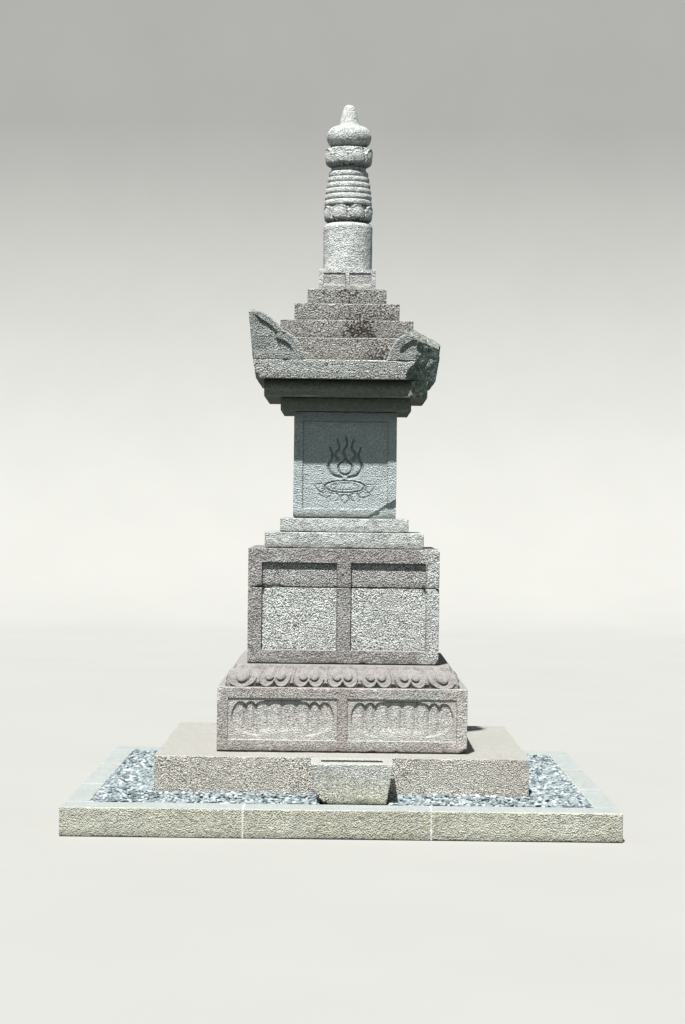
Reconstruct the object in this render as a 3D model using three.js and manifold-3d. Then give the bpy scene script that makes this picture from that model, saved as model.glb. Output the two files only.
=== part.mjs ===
// A stone treasure-casket pagoda: kerb and gravel bed, plinth with an offering basin, panelled box,
// lotus band, two-stone base, steps, body, stepped roof with four corner ears, and a ringed finial.
// Millimetres, +Z up. The origin is on the ground at the middle of the plinth; the front faces -Y.

import * as THREE from 'three';
import { mergeVertices } from 'three/addons/utils/BufferGeometryUtils.js';
import Module from 'manifold-3d';

const wasm = await Module();
wasm.setup();

// Driving dimensions: "half" is half the width of a square tier.
const KERB = {
  halfX: 1332, halfY: 1300, sideWidth: 116, rowWidth: 196, height: 140,
  frontJoints: [-464, 426], plainJoints: [-430, 430],
};
const GRAVEL = { top: 133 };
const PLINTH = { halfX: 930, halfY: 832, height: 335 };
const BASIN = { halfWidth: 200, halfDepth: 115, top: 340, batterX: 32, batterY: 52, centre: [50, -1035] };
const BASIN_HOLLOW = { halfWidth: 150, halfDepth: 62, depth: 92 };
const BOX = { half: 632, height: 325, sideStile: 56, midStile: 52, bottomRail: 58, topRail: 55, recess: 6 };
const KOZAMA = { recess: 7, halfWidth: 256, halfHeight: 90, middle: 100 };
const LOTUS = { bottomHalf: 578, topHalf: 545, height: 108, petals: 5, lobeBulge: 20, cornerBulge: 26 };
const BASE = {
  half: 490, lowerHeight: 392, upperHeight: 199, sideStile: 72, midStile: 73, bottomRail: 70, topRail: 73, recess: 18,
};
const STEPS = { lowerHalf: 410, lowerHeight: 82, upperHalf: 334, upperHeight: 72 };
const BODY = { half: 269, height: 554, border: 48, recess: 8 };
const EAVE_STEPS = { lowerHalf: 339, lowerHeight: 69, upperHalf: 423, upperHeight: 89 };
const EAVE = { topHalf: 480, bottomHalf: 464, height: 100 };
const ROOF = { halves: [413, 346, 275, 209], heights: [118, 96, 93, 84] };
const EAR = {
  foot: 214, outer: 480, tipOut: 504, tipHigh: 250, cusp: [307, 134], cuspNotch: [320, 127],
  sinking: 6, bottomBand: 34, lobeBand: 30, fieldTop: 220,
};
const SQUARE_BASIN = { half: 150, height: 108, sideStile: 26, midStile: 20, bottomRail: 22, topRail: 24, recess: 7 };
const DOME = { radius: 131, height: 256, shoulder: 26, topRadius: 118 };
const LOWER_CUP = { footRadius: 108, rimRadius: 131, height: 92, petals: 8, relief: 5 };
const RINGS = { count: 6, lowRadius: 127, highRadius: 106, height: 205, groove: 9, collar: 22 };
const UPPER_CUP = { footRadius: 98, rimRadius: 127, height: 101, petals: 8, relief: 5 };
const JEWEL = { radius: 119, bodyHeight: 134, pointFoot: 49, pointTop: 32, height: 238, seat: 70 };
const FRACTURE = {
  step: { point: [325, -480, 2325], normal: [0.66, -0.72, -0.22] },
  eave: { point: [344, -480, 2325], normal: [0.66, -0.72, -0.435] },
  side: { point: [344, -478, 2325], normal: [0.66, -0.72, -0.22] },
  top: { point: [375, -490, 2420], normal: [0.54, -0.29, 0.79] },
  backTip: { point: [430, 480, 2513], normal: [0.54, -0.07, 0.84] },
};
const SEAT_GAP = 0.3;
const ROUND_SIDES = 32;
const CUTTER = 1200;
const OVER = 20;

// Finishes, one per kind of stone surface.
const STONE = {
  kerb: { color: 0xa9a7a0, roughness: 0.9 },
  gravel: { color: 0x7f8890, roughness: 0.95 },
  plinth: { color: 0x9a8c80, roughness: 0.92 },
  basin: { color: 0xa3a693, roughness: 0.92 },
  base: { color: 0x8c8480, roughness: 0.92 },
  body: { color: 0x7e8485, roughness: 0.9 },
  roof: { color: 0x87807c, roughness: 0.93 },
  finial: { color: 0x9c9d98, roughness: 0.92 },
};

// The levels at which the tiers meet, from the ground up.
const LEVEL = { box: PLINTH.height };
LEVEL.lotus = LEVEL.box + BOX.height;
LEVEL.baseLower = LEVEL.lotus + LOTUS.height;
LEVEL.baseUpper = LEVEL.baseLower + BASE.lowerHeight;
LEVEL.stepLower = LEVEL.baseUpper + BASE.upperHeight;
LEVEL.stepUpper = LEVEL.stepLower + STEPS.lowerHeight;
LEVEL.body = LEVEL.stepUpper + STEPS.upperHeight;
LEVEL.eaveStepLower = LEVEL.body + BODY.height;
LEVEL.eaveStepUpper = LEVEL.eaveStepLower + EAVE_STEPS.lowerHeight;
LEVEL.eave = LEVEL.eaveStepUpper + EAVE_STEPS.upperHeight;
LEVEL.roof = LEVEL.eave + EAVE.height;
LEVEL.squareBasin = LEVEL.roof + ROOF.heights.reduce((sum, height) => sum + height, 0);
LEVEL.dome = LEVEL.squareBasin + SQUARE_BASIN.height;
LEVEL.lowerCup = LEVEL.dome + DOME.height;
LEVEL.rings = LEVEL.lowerCup + LOWER_CUP.height;
LEVEL.upperCup = LEVEL.rings + RINGS.height;
LEVEL.jewel = LEVEL.upperCup + UPPER_CUP.height;

const pagoda = new THREE.Group();

// A closed geometry as a solid for cutting and joining.
function solidOf(geometry) {
  const bare = geometry.clone();
  bare.deleteAttribute('normal');
  bare.deleteAttribute('uv');
  const merged = mergeVertices(bare, 1e-3);
  return new wasm.Manifold(new wasm.Mesh({
    numProp: 3,
    vertProperties: new Float32Array(merged.attributes.position.array),
    triVerts: new Uint32Array(merged.index.array),
  }));
}

// A solid back as a geometry.
function geometryOf(solid) {
  const mesh = solid.getMesh();
  const geometry = new THREE.BufferGeometry();
  geometry.setAttribute('position', new THREE.BufferAttribute(mesh.vertProperties, 3));
  geometry.setIndex(new THREE.BufferAttribute(mesh.triVerts, 1));
  geometry.computeVertexNormals();
  return geometry;
}

// Adds a named piece whose geometry stands on z = 0 of its own frame, at the given level.
function addPiece(name, shape, stone, level = 0) {
  const geometry = shape.isBufferGeometry ? shape : geometryOf(shape);
  const mesh = new THREE.Mesh(geometry, new THREE.MeshStandardMaterial({ ...stone, metalness: 0 }));
  mesh.name = name;
  mesh.position.z = level;
  pagoda.add(mesh);
}

// A box between two corners.
function boxBetween([x0, y0, z0], [x1, y1, z1]) {
  const box = new THREE.BoxGeometry(x1 - x0, y1 - y0, z1 - z0);
  return box.translate((x0 + x1) / 2, (y0 + y1) / 2, (z0 + z1) / 2);
}

// A square tier standing on z = 0.
function tier(half, height) {
  return boxBetween([-half, -half, 0], [half, half, height]);
}

// A block with four battered sides, from bottom half sizes to top half sizes.
function batteredBlock(bottom, top, height) {
  const block = boxBetween([-1, -1, 0], [1, 1, height]);
  const place = block.attributes.position;
  for (let i = 0; i < place.count; i += 1) {
    const [halfX, halfY] = place.getZ(i) > height / 2 ? top : bottom;
    place.setXY(i, place.getX(i) * halfX, place.getY(i) * halfY);
  }
  return block;
}

// The solid minus a cutter repeated on the four sides of the tower.
function cutFourSides(solid, frontCutter) {
  return [0, 1, 2, 3].reduce((left, turn) => {
    const cutter = frontCutter.clone().rotateZ((turn * Math.PI) / 2);
    return left.subtract(solidOf(cutter));
  }, solid);
}

// Cutters for the two sunk panels of a front face, left and right of the middle stile.
function panelCutters(half, sizes, z0, z1) {
  const outer = half - sizes.sideStile;
  const inner = sizes.midStile / 2;
  return [[-outer, -inner], [inner, outer]].map(([x0, x1]) => (
    boxBetween([x0, -half - OVER, z0], [x1, -half + sizes.recess, z1])
  ));
}

// A square tier with two sunk panels on each side.
function panelledTier(half, height, sizes, z0, z1) {
  return panelCutters(half, sizes, z0, z1).reduce(cutFourSides, solidOf(tier(half, height)));
}

// A flat outline in X and Z, carried along Y from y0 to y1.
function carriedAlongY(outline, y0, y1, curveSegments = 5) {
  const geometry = new THREE.ExtrudeGeometry(outline, { depth: y1 - y0, bevelEnabled: false, curveSegments });
  return geometry.rotateX(Math.PI / 2).translate(0, y1, 0);
}

// Kerb: each side is a row of three stones, and the wide front and back rows run past the side rows.
function buildKerb() {
  const { halfX, halfY, sideWidth, rowWidth, height } = KERB;
  const row = { out: halfY, end: halfX, width: rowWidth };
  const file = { out: halfX, end: halfY - rowWidth, width: sideWidth };
  const rows = [
    { side: 'front', ...row, joints: KERB.frontJoints, names: ['left', 'middle', 'right'] },
    { side: 'right', ...file, joints: KERB.plainJoints, names: ['front', 'middle', 'back'] },
    { side: 'back', ...row, joints: KERB.plainJoints, names: ['right', 'middle', 'left'] },
    { side: 'left', ...file, joints: KERB.plainJoints, names: ['back', 'middle', 'front'] },
  ];
  for (const [turn, { side, out, end, width, joints, names }] of rows.entries()) {
    const ends = [-end, ...joints, end];
    names.forEach((name, i) => {
      const stone = boxBetween([ends[i], -out, 0], [ends[i + 1], -out + width, height]);
      addPiece(`kerb_${side}_${name}`, solidOf(stone.rotateZ((turn * Math.PI) / 2)), STONE.kerb);
    });
  }
}

// Gravel: four strips between the kerb and the plinth.
function buildGravel() {
  const outerX = KERB.halfX - KERB.sideWidth;
  const outerY = KERB.halfY - KERB.rowWidth;
  const { halfX: innerX, halfY: innerY } = PLINTH;
  const strips = {
    front: [[-outerX, -outerY], [outerX, -innerY]],
    back: [[-outerX, innerY], [outerX, outerY]],
    left: [[-outerX, -innerY], [-innerX, innerY]],
    right: [[innerX, -innerY], [outerX, innerY]],
  };
  for (const [side, [low, high]] of Object.entries(strips)) {
    addPiece(`gravel_bed_${side}`, boxBetween([...low, 0], [...high, GRAVEL.top]), STONE.gravel);
  }
}

// Offering basin: a battered block, bedded in the gravel, with a long hollow in its top.
function offeringBasin() {
  const { halfWidth, halfDepth, top, batterX, batterY, centre } = BASIN;
  const height = top - GRAVEL.top;
  const block = batteredBlock([halfWidth - batterX, halfDepth - batterY], [halfWidth, halfDepth], height);
  const hollow = boxBetween(
    [-BASIN_HOLLOW.halfWidth, -BASIN_HOLLOW.halfDepth, height - BASIN_HOLLOW.depth],
    [BASIN_HOLLOW.halfWidth, BASIN_HOLLOW.halfDepth, height + OVER],
  );
  const stone = geometryOf(solidOf(block).subtract(solidOf(hollow)));
  return stone.translate(...centre, 0);
}

// The cusped outline sunk into each panel of the box, about the middle of the panel.
function kozamaOutline() {
  const { halfWidth: w, halfHeight: h } = KOZAMA;
  const outline = new THREE.Shape();
  const sides = [1, -1];
  outline.moveTo(0, h);
  for (const side of sides) {
    const points = [
      [0.43, 1], [0.52, 0.78], [0.62, 1], [0.73, 0.78], [0.84, 0.98], [0.95, 0.76], [1, 0.3],
      [0.97, -0.18], [0.84, -0.6], [0.62, -0.86], [0.42, -1],
    ];
    const ordered = side > 0 ? points : points.reverse();
    ordered.forEach(([x, z]) => outline.lineTo(side * x * w, z * h));
  }
  outline.closePath();
  return outline;
}

// Lower box: two sunk panels on each side, each with a cusped outline sunk a little further.
function lowerBox() {
  const panelled = panelledTier(BOX.half, BOX.height, BOX, BOX.bottomRail, BOX.height - BOX.topRail);
  const panelMiddle = (BOX.half - BOX.sideStile + BOX.midStile / 2) / 2;
  const depth = BOX.recess + KOZAMA.recess;
  const zMiddle = BOX.bottomRail + KOZAMA.middle;
  return [-panelMiddle, panelMiddle].reduce((left, x) => {
    const cutter = carriedAlongY(kozamaOutline(), -BOX.half - OVER, -BOX.half + depth);
    return cutFourSides(left, cutter.translate(x, 0, zMiddle));
  }, panelled);
}

// Lotus band: a scalloped square carried upwards, whose two-lobed petals swell near the foot.
function lotusBand() {
  const { bottomHalf, topHalf, height, petals, lobeBulge, cornerBulge } = LOTUS;
  const lobes = 2 * petals;
  const cornerWidth = 65;
  const lobeWidth = (2 * (bottomHalf - cornerWidth)) / lobes;
  const pointsPerLobe = 5;
  const middle = new THREE.Vector2();
  const points = [];
  for (let side = 0; side < 4; side += 1) {
    const turn = (side * Math.PI) / 2;
    const put = (x, y) => points.push(new THREE.Vector2(x, y).rotateAround(middle, turn));
    put(-bottomHalf - cornerBulge / 2, -bottomHalf - cornerBulge / 2);
    for (let lobe = 0; lobe < lobes; lobe += 1) {
      for (let i = 0; i < pointsPerLobe; i += 1) {
        const along = i / pointsPerLobe;
        const swell = Math.sqrt(Math.sin(Math.PI * Math.max(along, 0.02)));
        put(-bottomHalf + cornerWidth + (lobe + along) * lobeWidth, -bottomHalf - 2 - lobeBulge * swell);
      }
    }
    put(bottomHalf - cornerWidth, -bottomHalf - 2);
  }
  const outline = new THREE.Shape(points);
  const band = new THREE.ExtrudeGeometry(outline, { depth: height, steps: 4, bevelEnabled: false });
  const place = band.attributes.position;
  for (let i = 0; i < place.count; i += 1) {
    const up = place.getZ(i) / height;
    const core = new THREE.Vector2(place.getX(i), place.getY(i)).clampScalar(-bottomHalf, bottomHalf);
    const bulge = new THREE.Vector2(place.getX(i), place.getY(i)).sub(core);
    const swelling = 0.15 + 0.85 * Math.sin(Math.PI * Math.min(1, 0.25 + up * 0.75)) ** 0.7;
    core.multiplyScalar(1 + (topHalf / bottomHalf - 1) * up).addScaledVector(bulge, swelling);
    place.setXY(i, core.x, core.y);
  }
  return solidOf(band);
}

// One of the two base stones: the panels open at the joint between them.
function baseStone(height, z0, z1) {
  return panelledTier(BASE.half, height, BASE, z0, z1);
}

// Body: a sunk field with a border on each side.
function bodyBlock() {
  const { half, height, border, recess } = BODY;
  const field = boxBetween([-half + border, -half - OVER, border], [half - border, -half + recess, height - border]);
  return cutFourSides(solidOf(tier(half, height)), field);
}

// A large block with one face on the plane through a point; the block lies on the normal's side.
function beyondPlane({ point, normal }) {
  const block = new THREE.BoxGeometry(CUTTER, CUTTER, CUTTER).translate(0, 0, CUTTER / 2);
  const turn = new THREE.Quaternion().setFromUnitVectors(
    new THREE.Vector3(0, 0, 1), new THREE.Vector3(...normal).normalize(),
  );
  return solidOf(block.applyQuaternion(turn).translate(...point));
}

// A tier at its level with the broken front right corner taken off.
function brokenTier(geometry, level, plane) {
  const placed = solidOf(geometry.translate(0, 0, level));
  return geometryOf(placed.subtract(beyondPlane(plane))).translate(0, 0, -level);
}

// The face outline of an ear: foot, upright outer edge, tip, upper lobe, cusp and lower lobe.
function earOutline() {
  const { foot, outer, tipOut, tipHigh, cusp, cuspNotch } = EAR;
  const outline = new THREE.Shape();
  outline.moveTo(foot, 0);
  outline.lineTo(outer, 0);
  outline.lineTo(tipOut, tipHigh - 11);
  outline.lineTo(tipOut - 10, tipHigh);
  outline.lineTo(tipOut - 28, tipHigh);
  outline.quadraticCurveTo(372, 206, ...cusp);
  outline.lineTo(...cuspNotch);
  outline.bezierCurveTo(262, 122, 232, 72, foot, 0);
  return outline;
}

// The sunk field of an ear face, between the band along the lobes and the band at the foot.
function earField() {
  const { tipOut, bottomBand, lobeBand, fieldTop } = EAR;
  const outline = new THREE.Shape();
  outline.moveTo(EAR.foot + 2 * lobeBand - 4, bottomBand);
  outline.lineTo(tipOut + OVER, bottomBand);
  outline.lineTo(tipOut + OVER, fieldTop);
  outline.lineTo(472, fieldTop);
  outline.quadraticCurveTo(396, 184, 354, 137);
  outline.lineTo(362, 100);
  outline.bezierCurveTo(318, 92, 282, 72, EAR.foot + 2 * lobeBand - 4, bottomBand);
  return outline;
}

// A corner ear for the +X +Y corner, seated over the roof steps, standing on z = 0.
function cornerEar() {
  const reach = EAR.tipOut + OVER;
  const acrossX = solidOf(carriedAlongY(earOutline(), 0, reach));
  const turned = (geometry) => geometry.rotateZ(-Math.PI / 2).scale(1, -1, 1);
  const acrossY = solidOf(flipFaces(turned(carriedAlongY(earOutline(), 0, reach))));
  const whole = acrossX.intersect(acrossY);
  const fieldX = solidOf(carriedAlongY(earField(), 0, reach));
  const fieldY = solidOf(flipFaces(turned(carriedAlongY(earField(), 0, reach))));
  const sunk = whole
    .subtract(fieldX.subtract(acrossY.translate([0, -EAR.sinking, 0])))
    .subtract(fieldY.subtract(acrossX.translate([-EAR.sinking, 0, 0])));
  let foot = 0;
  return ROOF.halves.slice(0, 3).reduce((left, half, i) => {
    const step = tier(half + SEAT_GAP, ROOF.heights[i] + SEAT_GAP).translate(0, 0, foot);
    foot += ROOF.heights[i];
    return left.subtract(solidOf(step)).subtract(solidOf(step.translate(0, 0, -SEAT_GAP)));
  }, sunk);
}

// Turns every triangle over, after a mirroring.
function flipFaces(geometry) {
  const flat = geometry.index ? geometry.toNonIndexed() : geometry;
  const place = flat.attributes.position;
  for (let i = 0; i < place.count; i += 3) {
    const [a, b] = [i + 1, i + 2].map((k) => new THREE.Vector3().fromBufferAttribute(place, k));
    place.setXYZ(i + 1, b.x, b.y, b.z);
    place.setXYZ(i + 2, a.x, a.y, a.z);
  }
  return flat;
}

// The four ears; the front right one has lost its outer lobe, and the back right one its tip.
function buildEars() {
  const ear = geometryOf(cornerEar());
  const corners = { back_right: 0, back_left: 1, front_left: 2, front_right: 3 };
  const breaks = { back_right: [FRACTURE.backTip], front_right: [FRACTURE.side, FRACTURE.top] };
  for (const [corner, turns] of Object.entries(corners)) {
    const placed = ear.clone().rotateZ((turns * Math.PI) / 2).translate(0, 0, LEVEL.roof);
    const left = (breaks[corner] ?? []).reduce(
      (whole, plane) => whole.subtract(beyondPlane(plane)), solidOf(placed),
    );
    addPiece(`ear_${corner}`, geometryOf(left).translate(0, 0, -LEVEL.roof), STONE.roof, LEVEL.roof);
  }
}

// A turned piece from a profile of [radius, height] pairs that starts and ends on the axis.
function turnedPiece(profile) {
  const points = profile.map(([radius, height]) => new THREE.Vector2(radius, height));
  return new THREE.LatheGeometry(points, ROUND_SIDES).rotateX(Math.PI / 2);
}

// Dome: an upright drum with a rounded shoulder.
function dome() {
  const { radius, height, shoulder, topRadius } = DOME;
  const profile = [[0, 0], [radius, 0], [radius, height - shoulder - 8]];
  const steps = 4;
  for (let i = 1; i <= steps; i += 1) {
    const angle = (i / steps) * (Math.PI / 2);
    profile.push([
      topRadius - shoulder + (radius - topRadius + shoulder) * Math.cos(angle),
      height - shoulder - 8 + (shoulder + 8) * Math.sin(angle),
    ]);
  }
  return turnedPiece([...profile, [0, height]]);
}

// Lotus cup: its side swells from the foot to the rim and is waved by the petals around it.
function lotusCup({ footRadius, rimRadius, height, petals, relief }) {
  const profile = [
    [0, 0], [footRadius, 0], [footRadius + (rimRadius - footRadius) * 0.7, height * 0.18],
    [rimRadius + 3, height * 0.45], [rimRadius + 2, height * 0.8], [rimRadius - 3, height], [0, height],
  ];
  const cup = turnedPiece(profile);
  const place = cup.attributes.position;
  for (let i = 0; i < place.count; i += 1) {
    const radius = Math.hypot(place.getX(i), place.getY(i));
    const angle = Math.atan2(place.getY(i), place.getX(i));
    const wave = Math.abs(Math.cos((angle * petals) / 2)) - 1;
    const scale = radius > footRadius ? 1 + (relief * wave) / radius : 1;
    place.setXY(i, place.getX(i) * scale, place.getY(i) * scale);
  }
  return cup;
}

// Ring shaft: a stack of rounded rings that taper upwards, ending in a thin collar.
function ringShaft() {
  const { count, lowRadius, highRadius, height, groove, collar } = RINGS;
  const pitch = (height - collar) / count;
  const profile = [[0, 0]];
  for (let ring = 0; ring < count; ring += 1) {
    const radius = lowRadius + (highRadius - lowRadius) * (ring / (count - 1));
    const low = ring * pitch;
    profile.push([radius - groove, low], [radius, low + pitch * 0.22], [radius, low + pitch * 0.68]);
    profile.push([radius - groove, low + pitch * 0.95]);
  }
  profile.push([highRadius - groove, height], [0, height]);
  return turnedPiece(profile);
}

// Jewel: a flattened ball with a tall blunt point.
function jewel() {
  const { radius, bodyHeight, pointFoot, pointTop, height, seat } = JEWEL;
  const profile = [[0, 0], [seat, 0]];
  const steps = 8;
  const half = bodyHeight / 2;
  for (let i = 1; i < steps; i += 1) {
    const angle = -Math.PI / 2 + (i / steps) * Math.PI;
    profile.push([radius * Math.cos(angle) ** 0.55, half + half * Math.sin(angle)]);
  }
  profile.push([pointFoot, bodyHeight], [pointFoot - 6, bodyHeight + 26], [pointTop, height - 34]);
  profile.push([pointTop - 8, height - 12], [0, height]);
  return turnedPiece(profile);
}

buildKerb();
buildGravel();
const { halfX: slabX, halfY: slabY, height: slabHeight } = PLINTH;
addPiece('plinth_slab', boxBetween([-slabX, -slabY, 0], [slabX, slabY, slabHeight]), STONE.plinth);
addPiece('offering_basin', offeringBasin(), STONE.basin, GRAVEL.top);
addPiece('lower_box', lowerBox(), STONE.base, LEVEL.box);
addPiece('lotus_band', lotusBand(), STONE.base, LEVEL.lotus);
addPiece('base_lower_stone', baseStone(BASE.lowerHeight, BASE.bottomRail, BASE.lowerHeight + OVER),
  STONE.base, LEVEL.baseLower);
addPiece('base_upper_stone', baseStone(BASE.upperHeight, -OVER, BASE.upperHeight - BASE.topRail),
  STONE.base, LEVEL.baseUpper);
addPiece('step_lower', tier(STEPS.lowerHalf, STEPS.lowerHeight), STONE.base, LEVEL.stepLower);
addPiece('step_upper', tier(STEPS.upperHalf, STEPS.upperHeight), STONE.base, LEVEL.stepUpper);
addPiece('body_block', bodyBlock(), STONE.body, LEVEL.body);
addPiece('eave_step_lower', tier(EAVE_STEPS.lowerHalf, EAVE_STEPS.lowerHeight), STONE.roof, LEVEL.eaveStepLower);
const upperStep = tier(EAVE_STEPS.upperHalf, EAVE_STEPS.upperHeight);
addPiece('eave_step_upper', brokenTier(upperStep, LEVEL.eaveStepUpper, FRACTURE.step), STONE.roof,
  LEVEL.eaveStepUpper);
const eaveBlock = batteredBlock([EAVE.bottomHalf, EAVE.bottomHalf], [EAVE.topHalf, EAVE.topHalf], EAVE.height);
addPiece('eave_slab', brokenTier(eaveBlock, LEVEL.eave, FRACTURE.eave), STONE.roof, LEVEL.eave);
let stepLevel = LEVEL.roof;
ROOF.halves.forEach((half, i) => {
  addPiece(`roof_step_${i + 1}`, tier(half, ROOF.heights[i]), STONE.roof, stepLevel);
  stepLevel += ROOF.heights[i];
});
buildEars();
addPiece('square_basin', panelledTier(SQUARE_BASIN.half, SQUARE_BASIN.height, SQUARE_BASIN,
  SQUARE_BASIN.bottomRail, SQUARE_BASIN.height - SQUARE_BASIN.topRail), STONE.finial, LEVEL.squareBasin);
addPiece('dome', solidOf(dome()), STONE.finial, LEVEL.dome);
addPiece('lower_lotus_cup', solidOf(lotusCup(LOWER_CUP)), STONE.finial, LEVEL.lowerCup);
addPiece('ring_shaft', solidOf(ringShaft()), STONE.finial, LEVEL.rings);
addPiece('upper_lotus_cup', solidOf(lotusCup(UPPER_CUP)), STONE.finial, LEVEL.upperCup);
addPiece('jewel', solidOf(jewel()), STONE.finial, LEVEL.jewel);

export default pagoda;
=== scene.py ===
"""Looks for a weathered stone pagoda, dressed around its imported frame.

Every stone is a surface worked out with numpy: a profile carried around a square or a circle, rounded
and chipped at its edges, swelled by smooth noise and cut by carved relief. Finishes are built from
shader expressions on Object coordinates and on the pieces' own attributes.
"""

import logging
import math
from dataclasses import dataclass, replace
from enum import Enum
from itertools import product
from typing import Any, Callable, Optional, Sequence

import bpy
import numpy as np
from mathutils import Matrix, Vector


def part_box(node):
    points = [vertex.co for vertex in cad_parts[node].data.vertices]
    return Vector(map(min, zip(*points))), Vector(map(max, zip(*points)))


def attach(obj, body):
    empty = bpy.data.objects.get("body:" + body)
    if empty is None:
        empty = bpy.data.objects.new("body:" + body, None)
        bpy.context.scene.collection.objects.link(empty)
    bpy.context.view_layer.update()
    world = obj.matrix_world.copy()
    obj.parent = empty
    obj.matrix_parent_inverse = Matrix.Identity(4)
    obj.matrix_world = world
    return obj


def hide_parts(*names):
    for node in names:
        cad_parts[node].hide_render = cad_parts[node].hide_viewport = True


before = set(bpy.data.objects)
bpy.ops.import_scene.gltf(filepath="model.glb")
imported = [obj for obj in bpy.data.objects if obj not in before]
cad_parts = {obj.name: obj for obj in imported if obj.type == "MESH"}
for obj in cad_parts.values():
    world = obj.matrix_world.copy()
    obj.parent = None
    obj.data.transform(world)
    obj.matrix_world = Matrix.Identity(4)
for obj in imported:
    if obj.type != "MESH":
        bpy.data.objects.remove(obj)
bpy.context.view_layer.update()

LOG = logging.getLogger("pagoda")
Array = np.ndarray
Piece = bpy.types.Object
Relief = Callable[[Array, Array], Array]
Colour = tuple[float, float, float]
ScreenColour = tuple[int, int, int]

EDGE_LINES = (0.0, 0.002, 0.0045, 0.008, 0.013, 0.021)
HALF_CREASE = 0.0008
SHARP_ANGLE = math.radians(38.0)
QUARTER = math.pi / 2


class Axis(Enum):
    """The four outward directions of a square stone's sides, front first, anticlockwise from above."""

    FRONT = (0.0, -1.0)
    RIGHT = (1.0, 0.0)
    BACK = (0.0, 1.0)
    LEFT = (-1.0, 0.0)

    def out(self) -> Array:
        """The outward direction."""
        return np.array(self.value)

    def run(self) -> Array:
        """The direction along the side, anticlockwise."""
        return np.array([-self.value[1], self.value[0]])


def linear(red: int, green: int, blue: int) -> Colour:
    """Turns screen colour values of 0 to 255 into linear light."""
    parts = [value / 255.0 for value in (red, green, blue)]
    return tuple(p / 12.92 if p <= 0.04045 else ((p + 0.055) / 1.055) ** 2.4 for p in parts)


def ramp(values: Array, low: float, high: float) -> Array:
    """Rises from 0 at low to 1 at high along 3t^2 - 2t^3.

    Args:
        values: Numbers of any shape.
        low: Where the rise starts; it may be above high for a fall.
        high: Where the rise ends.

    Returns:
        Numbers from 0 to 1 of the same shape.
    """
    part = np.clip((values - low) / (high - low), 0.0, 1.0)
    return part * part * (3.0 - 2.0 * part)


def graded(
    low: float, high: float, step: float, creases: Sequence[float] = (), fine: Sequence[float] = (),
) -> Array:
    """Coordinates from low to high, close together at both ends and at each crease.

    Args:
        low: First coordinate.
        high: Last coordinate.
        step: Largest spacing between two coordinates.
        creases: Places where a wall needs two lines almost together.
        fine: Start, end and spacing of a span that is divided more finely, or nothing.

    Returns:
        Sorted coordinates: the edge lines of both ends, a close pair at each crease, and an even
        filling of what lies between them.
    """
    ends = np.array(EDGE_LINES)
    fixed = [low + ends, high - ends]
    fixed += [np.array([crease - HALF_CREASE, crease + HALF_CREASE]) for crease in creases]
    if fine:
        fixed.append(np.array(fine[:2]))
    marks = np.unique(np.round(np.concatenate(fixed), 6))
    marks = marks[(marks >= low - 1e-9) & (marks <= high + 1e-9)]
    runs = []
    for start, end in zip(marks[:-1], marks[1:]):
        inside = bool(fine) and fine[0] - 1e-6 <= start and end <= fine[1] + 1e-6
        count = max(1, math.ceil((end - start) / (fine[2] if inside else step)))
        runs.append(np.linspace(start, end, count, endpoint=False))
    return np.append(np.concatenate(runs), high)


def nearest_on_path(across: Array, up: Array, path: Array) -> tuple[Array, Array]:
    """Distance from each point to an open path of straight parts, and where along it that is.

    Args:
        across: First coordinates of the points.
        up: Second coordinates of the points.
        path: The path's corners, one pair a row.

    Returns:
        The least over the parts of |p - a - t(b - a)|, with t the clipped foot of p on the part ab,
        and the share of the path's parts passed there, from 0 to 1.
    """
    nearest = np.full(np.shape(across), np.inf)
    share = np.zeros(np.shape(across))
    for number, ((ax, ay), (bx, by)) in enumerate(zip(path[:-1], path[1:])):
        dx, dy = bx - ax, by - ay
        length = max(dx * dx + dy * dy, 1e-12)
        foot = np.clip(((across - ax) * dx + (up - ay) * dy) / length, 0.0, 1.0)
        gap = np.hypot(across - ax - foot * dx, up - ay - foot * dy)
        closer = gap < nearest
        nearest = np.where(closer, gap, nearest)
        share = np.where(closer, (number + foot) / (len(path) - 1), share)
    return nearest, share


def signed_distance(across: Array, up: Array, outline: Array) -> Array:
    """Distance to a closed outline, positive inside it."""
    gap, _ = nearest_on_path(across, up, np.vstack([outline, outline[:1]]))
    return np.where(inside_outline(across, up, outline), gap, -gap)


def inside_outline(across: Array, up: Array, path: Array) -> Array:
    """Whether each point lies inside a closed outline, by counting the parts that a ray crosses."""
    closed = np.vstack([path, path[:1]])
    odd = np.zeros(np.shape(across), bool)
    for (ax, ay), (bx, by) in zip(closed[:-1], closed[1:]):
        if ay == by:
            continue
        spans = (ay > up) != (by > up)
        odd ^= spans & (across < ax + (up - ay) * (bx - ax) / (by - ay))
    return odd


def smooth_path(corners: Sequence[tuple[float, float]], rounds: int = 3) -> Array:
    """Rounds a path of corners by cutting each corner at a quarter of its two parts, several times."""
    path = np.array(corners, float)
    for _ in range(rounds):
        first = 0.75 * path[:-1] + 0.25 * path[1:]
        second = 0.25 * path[:-1] + 0.75 * path[1:]
        inner = np.stack([first, second], axis=1).reshape(-1, 2)
        path = np.vstack([path[:1], inner, path[-1:]])
    return path


def even_path(corners: Sequence[tuple[float, float]], count: int) -> Array:
    """Evenly spaced points along a path of corners."""
    line = np.array(corners)
    run = np.concatenate([[0.0], np.cumsum(np.hypot(*np.diff(line, axis=0).T))])
    places = np.linspace(0.0, run[-1], count)
    return np.column_stack([np.interp(places, run, line[:, part]) for part in (0, 1)])


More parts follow.
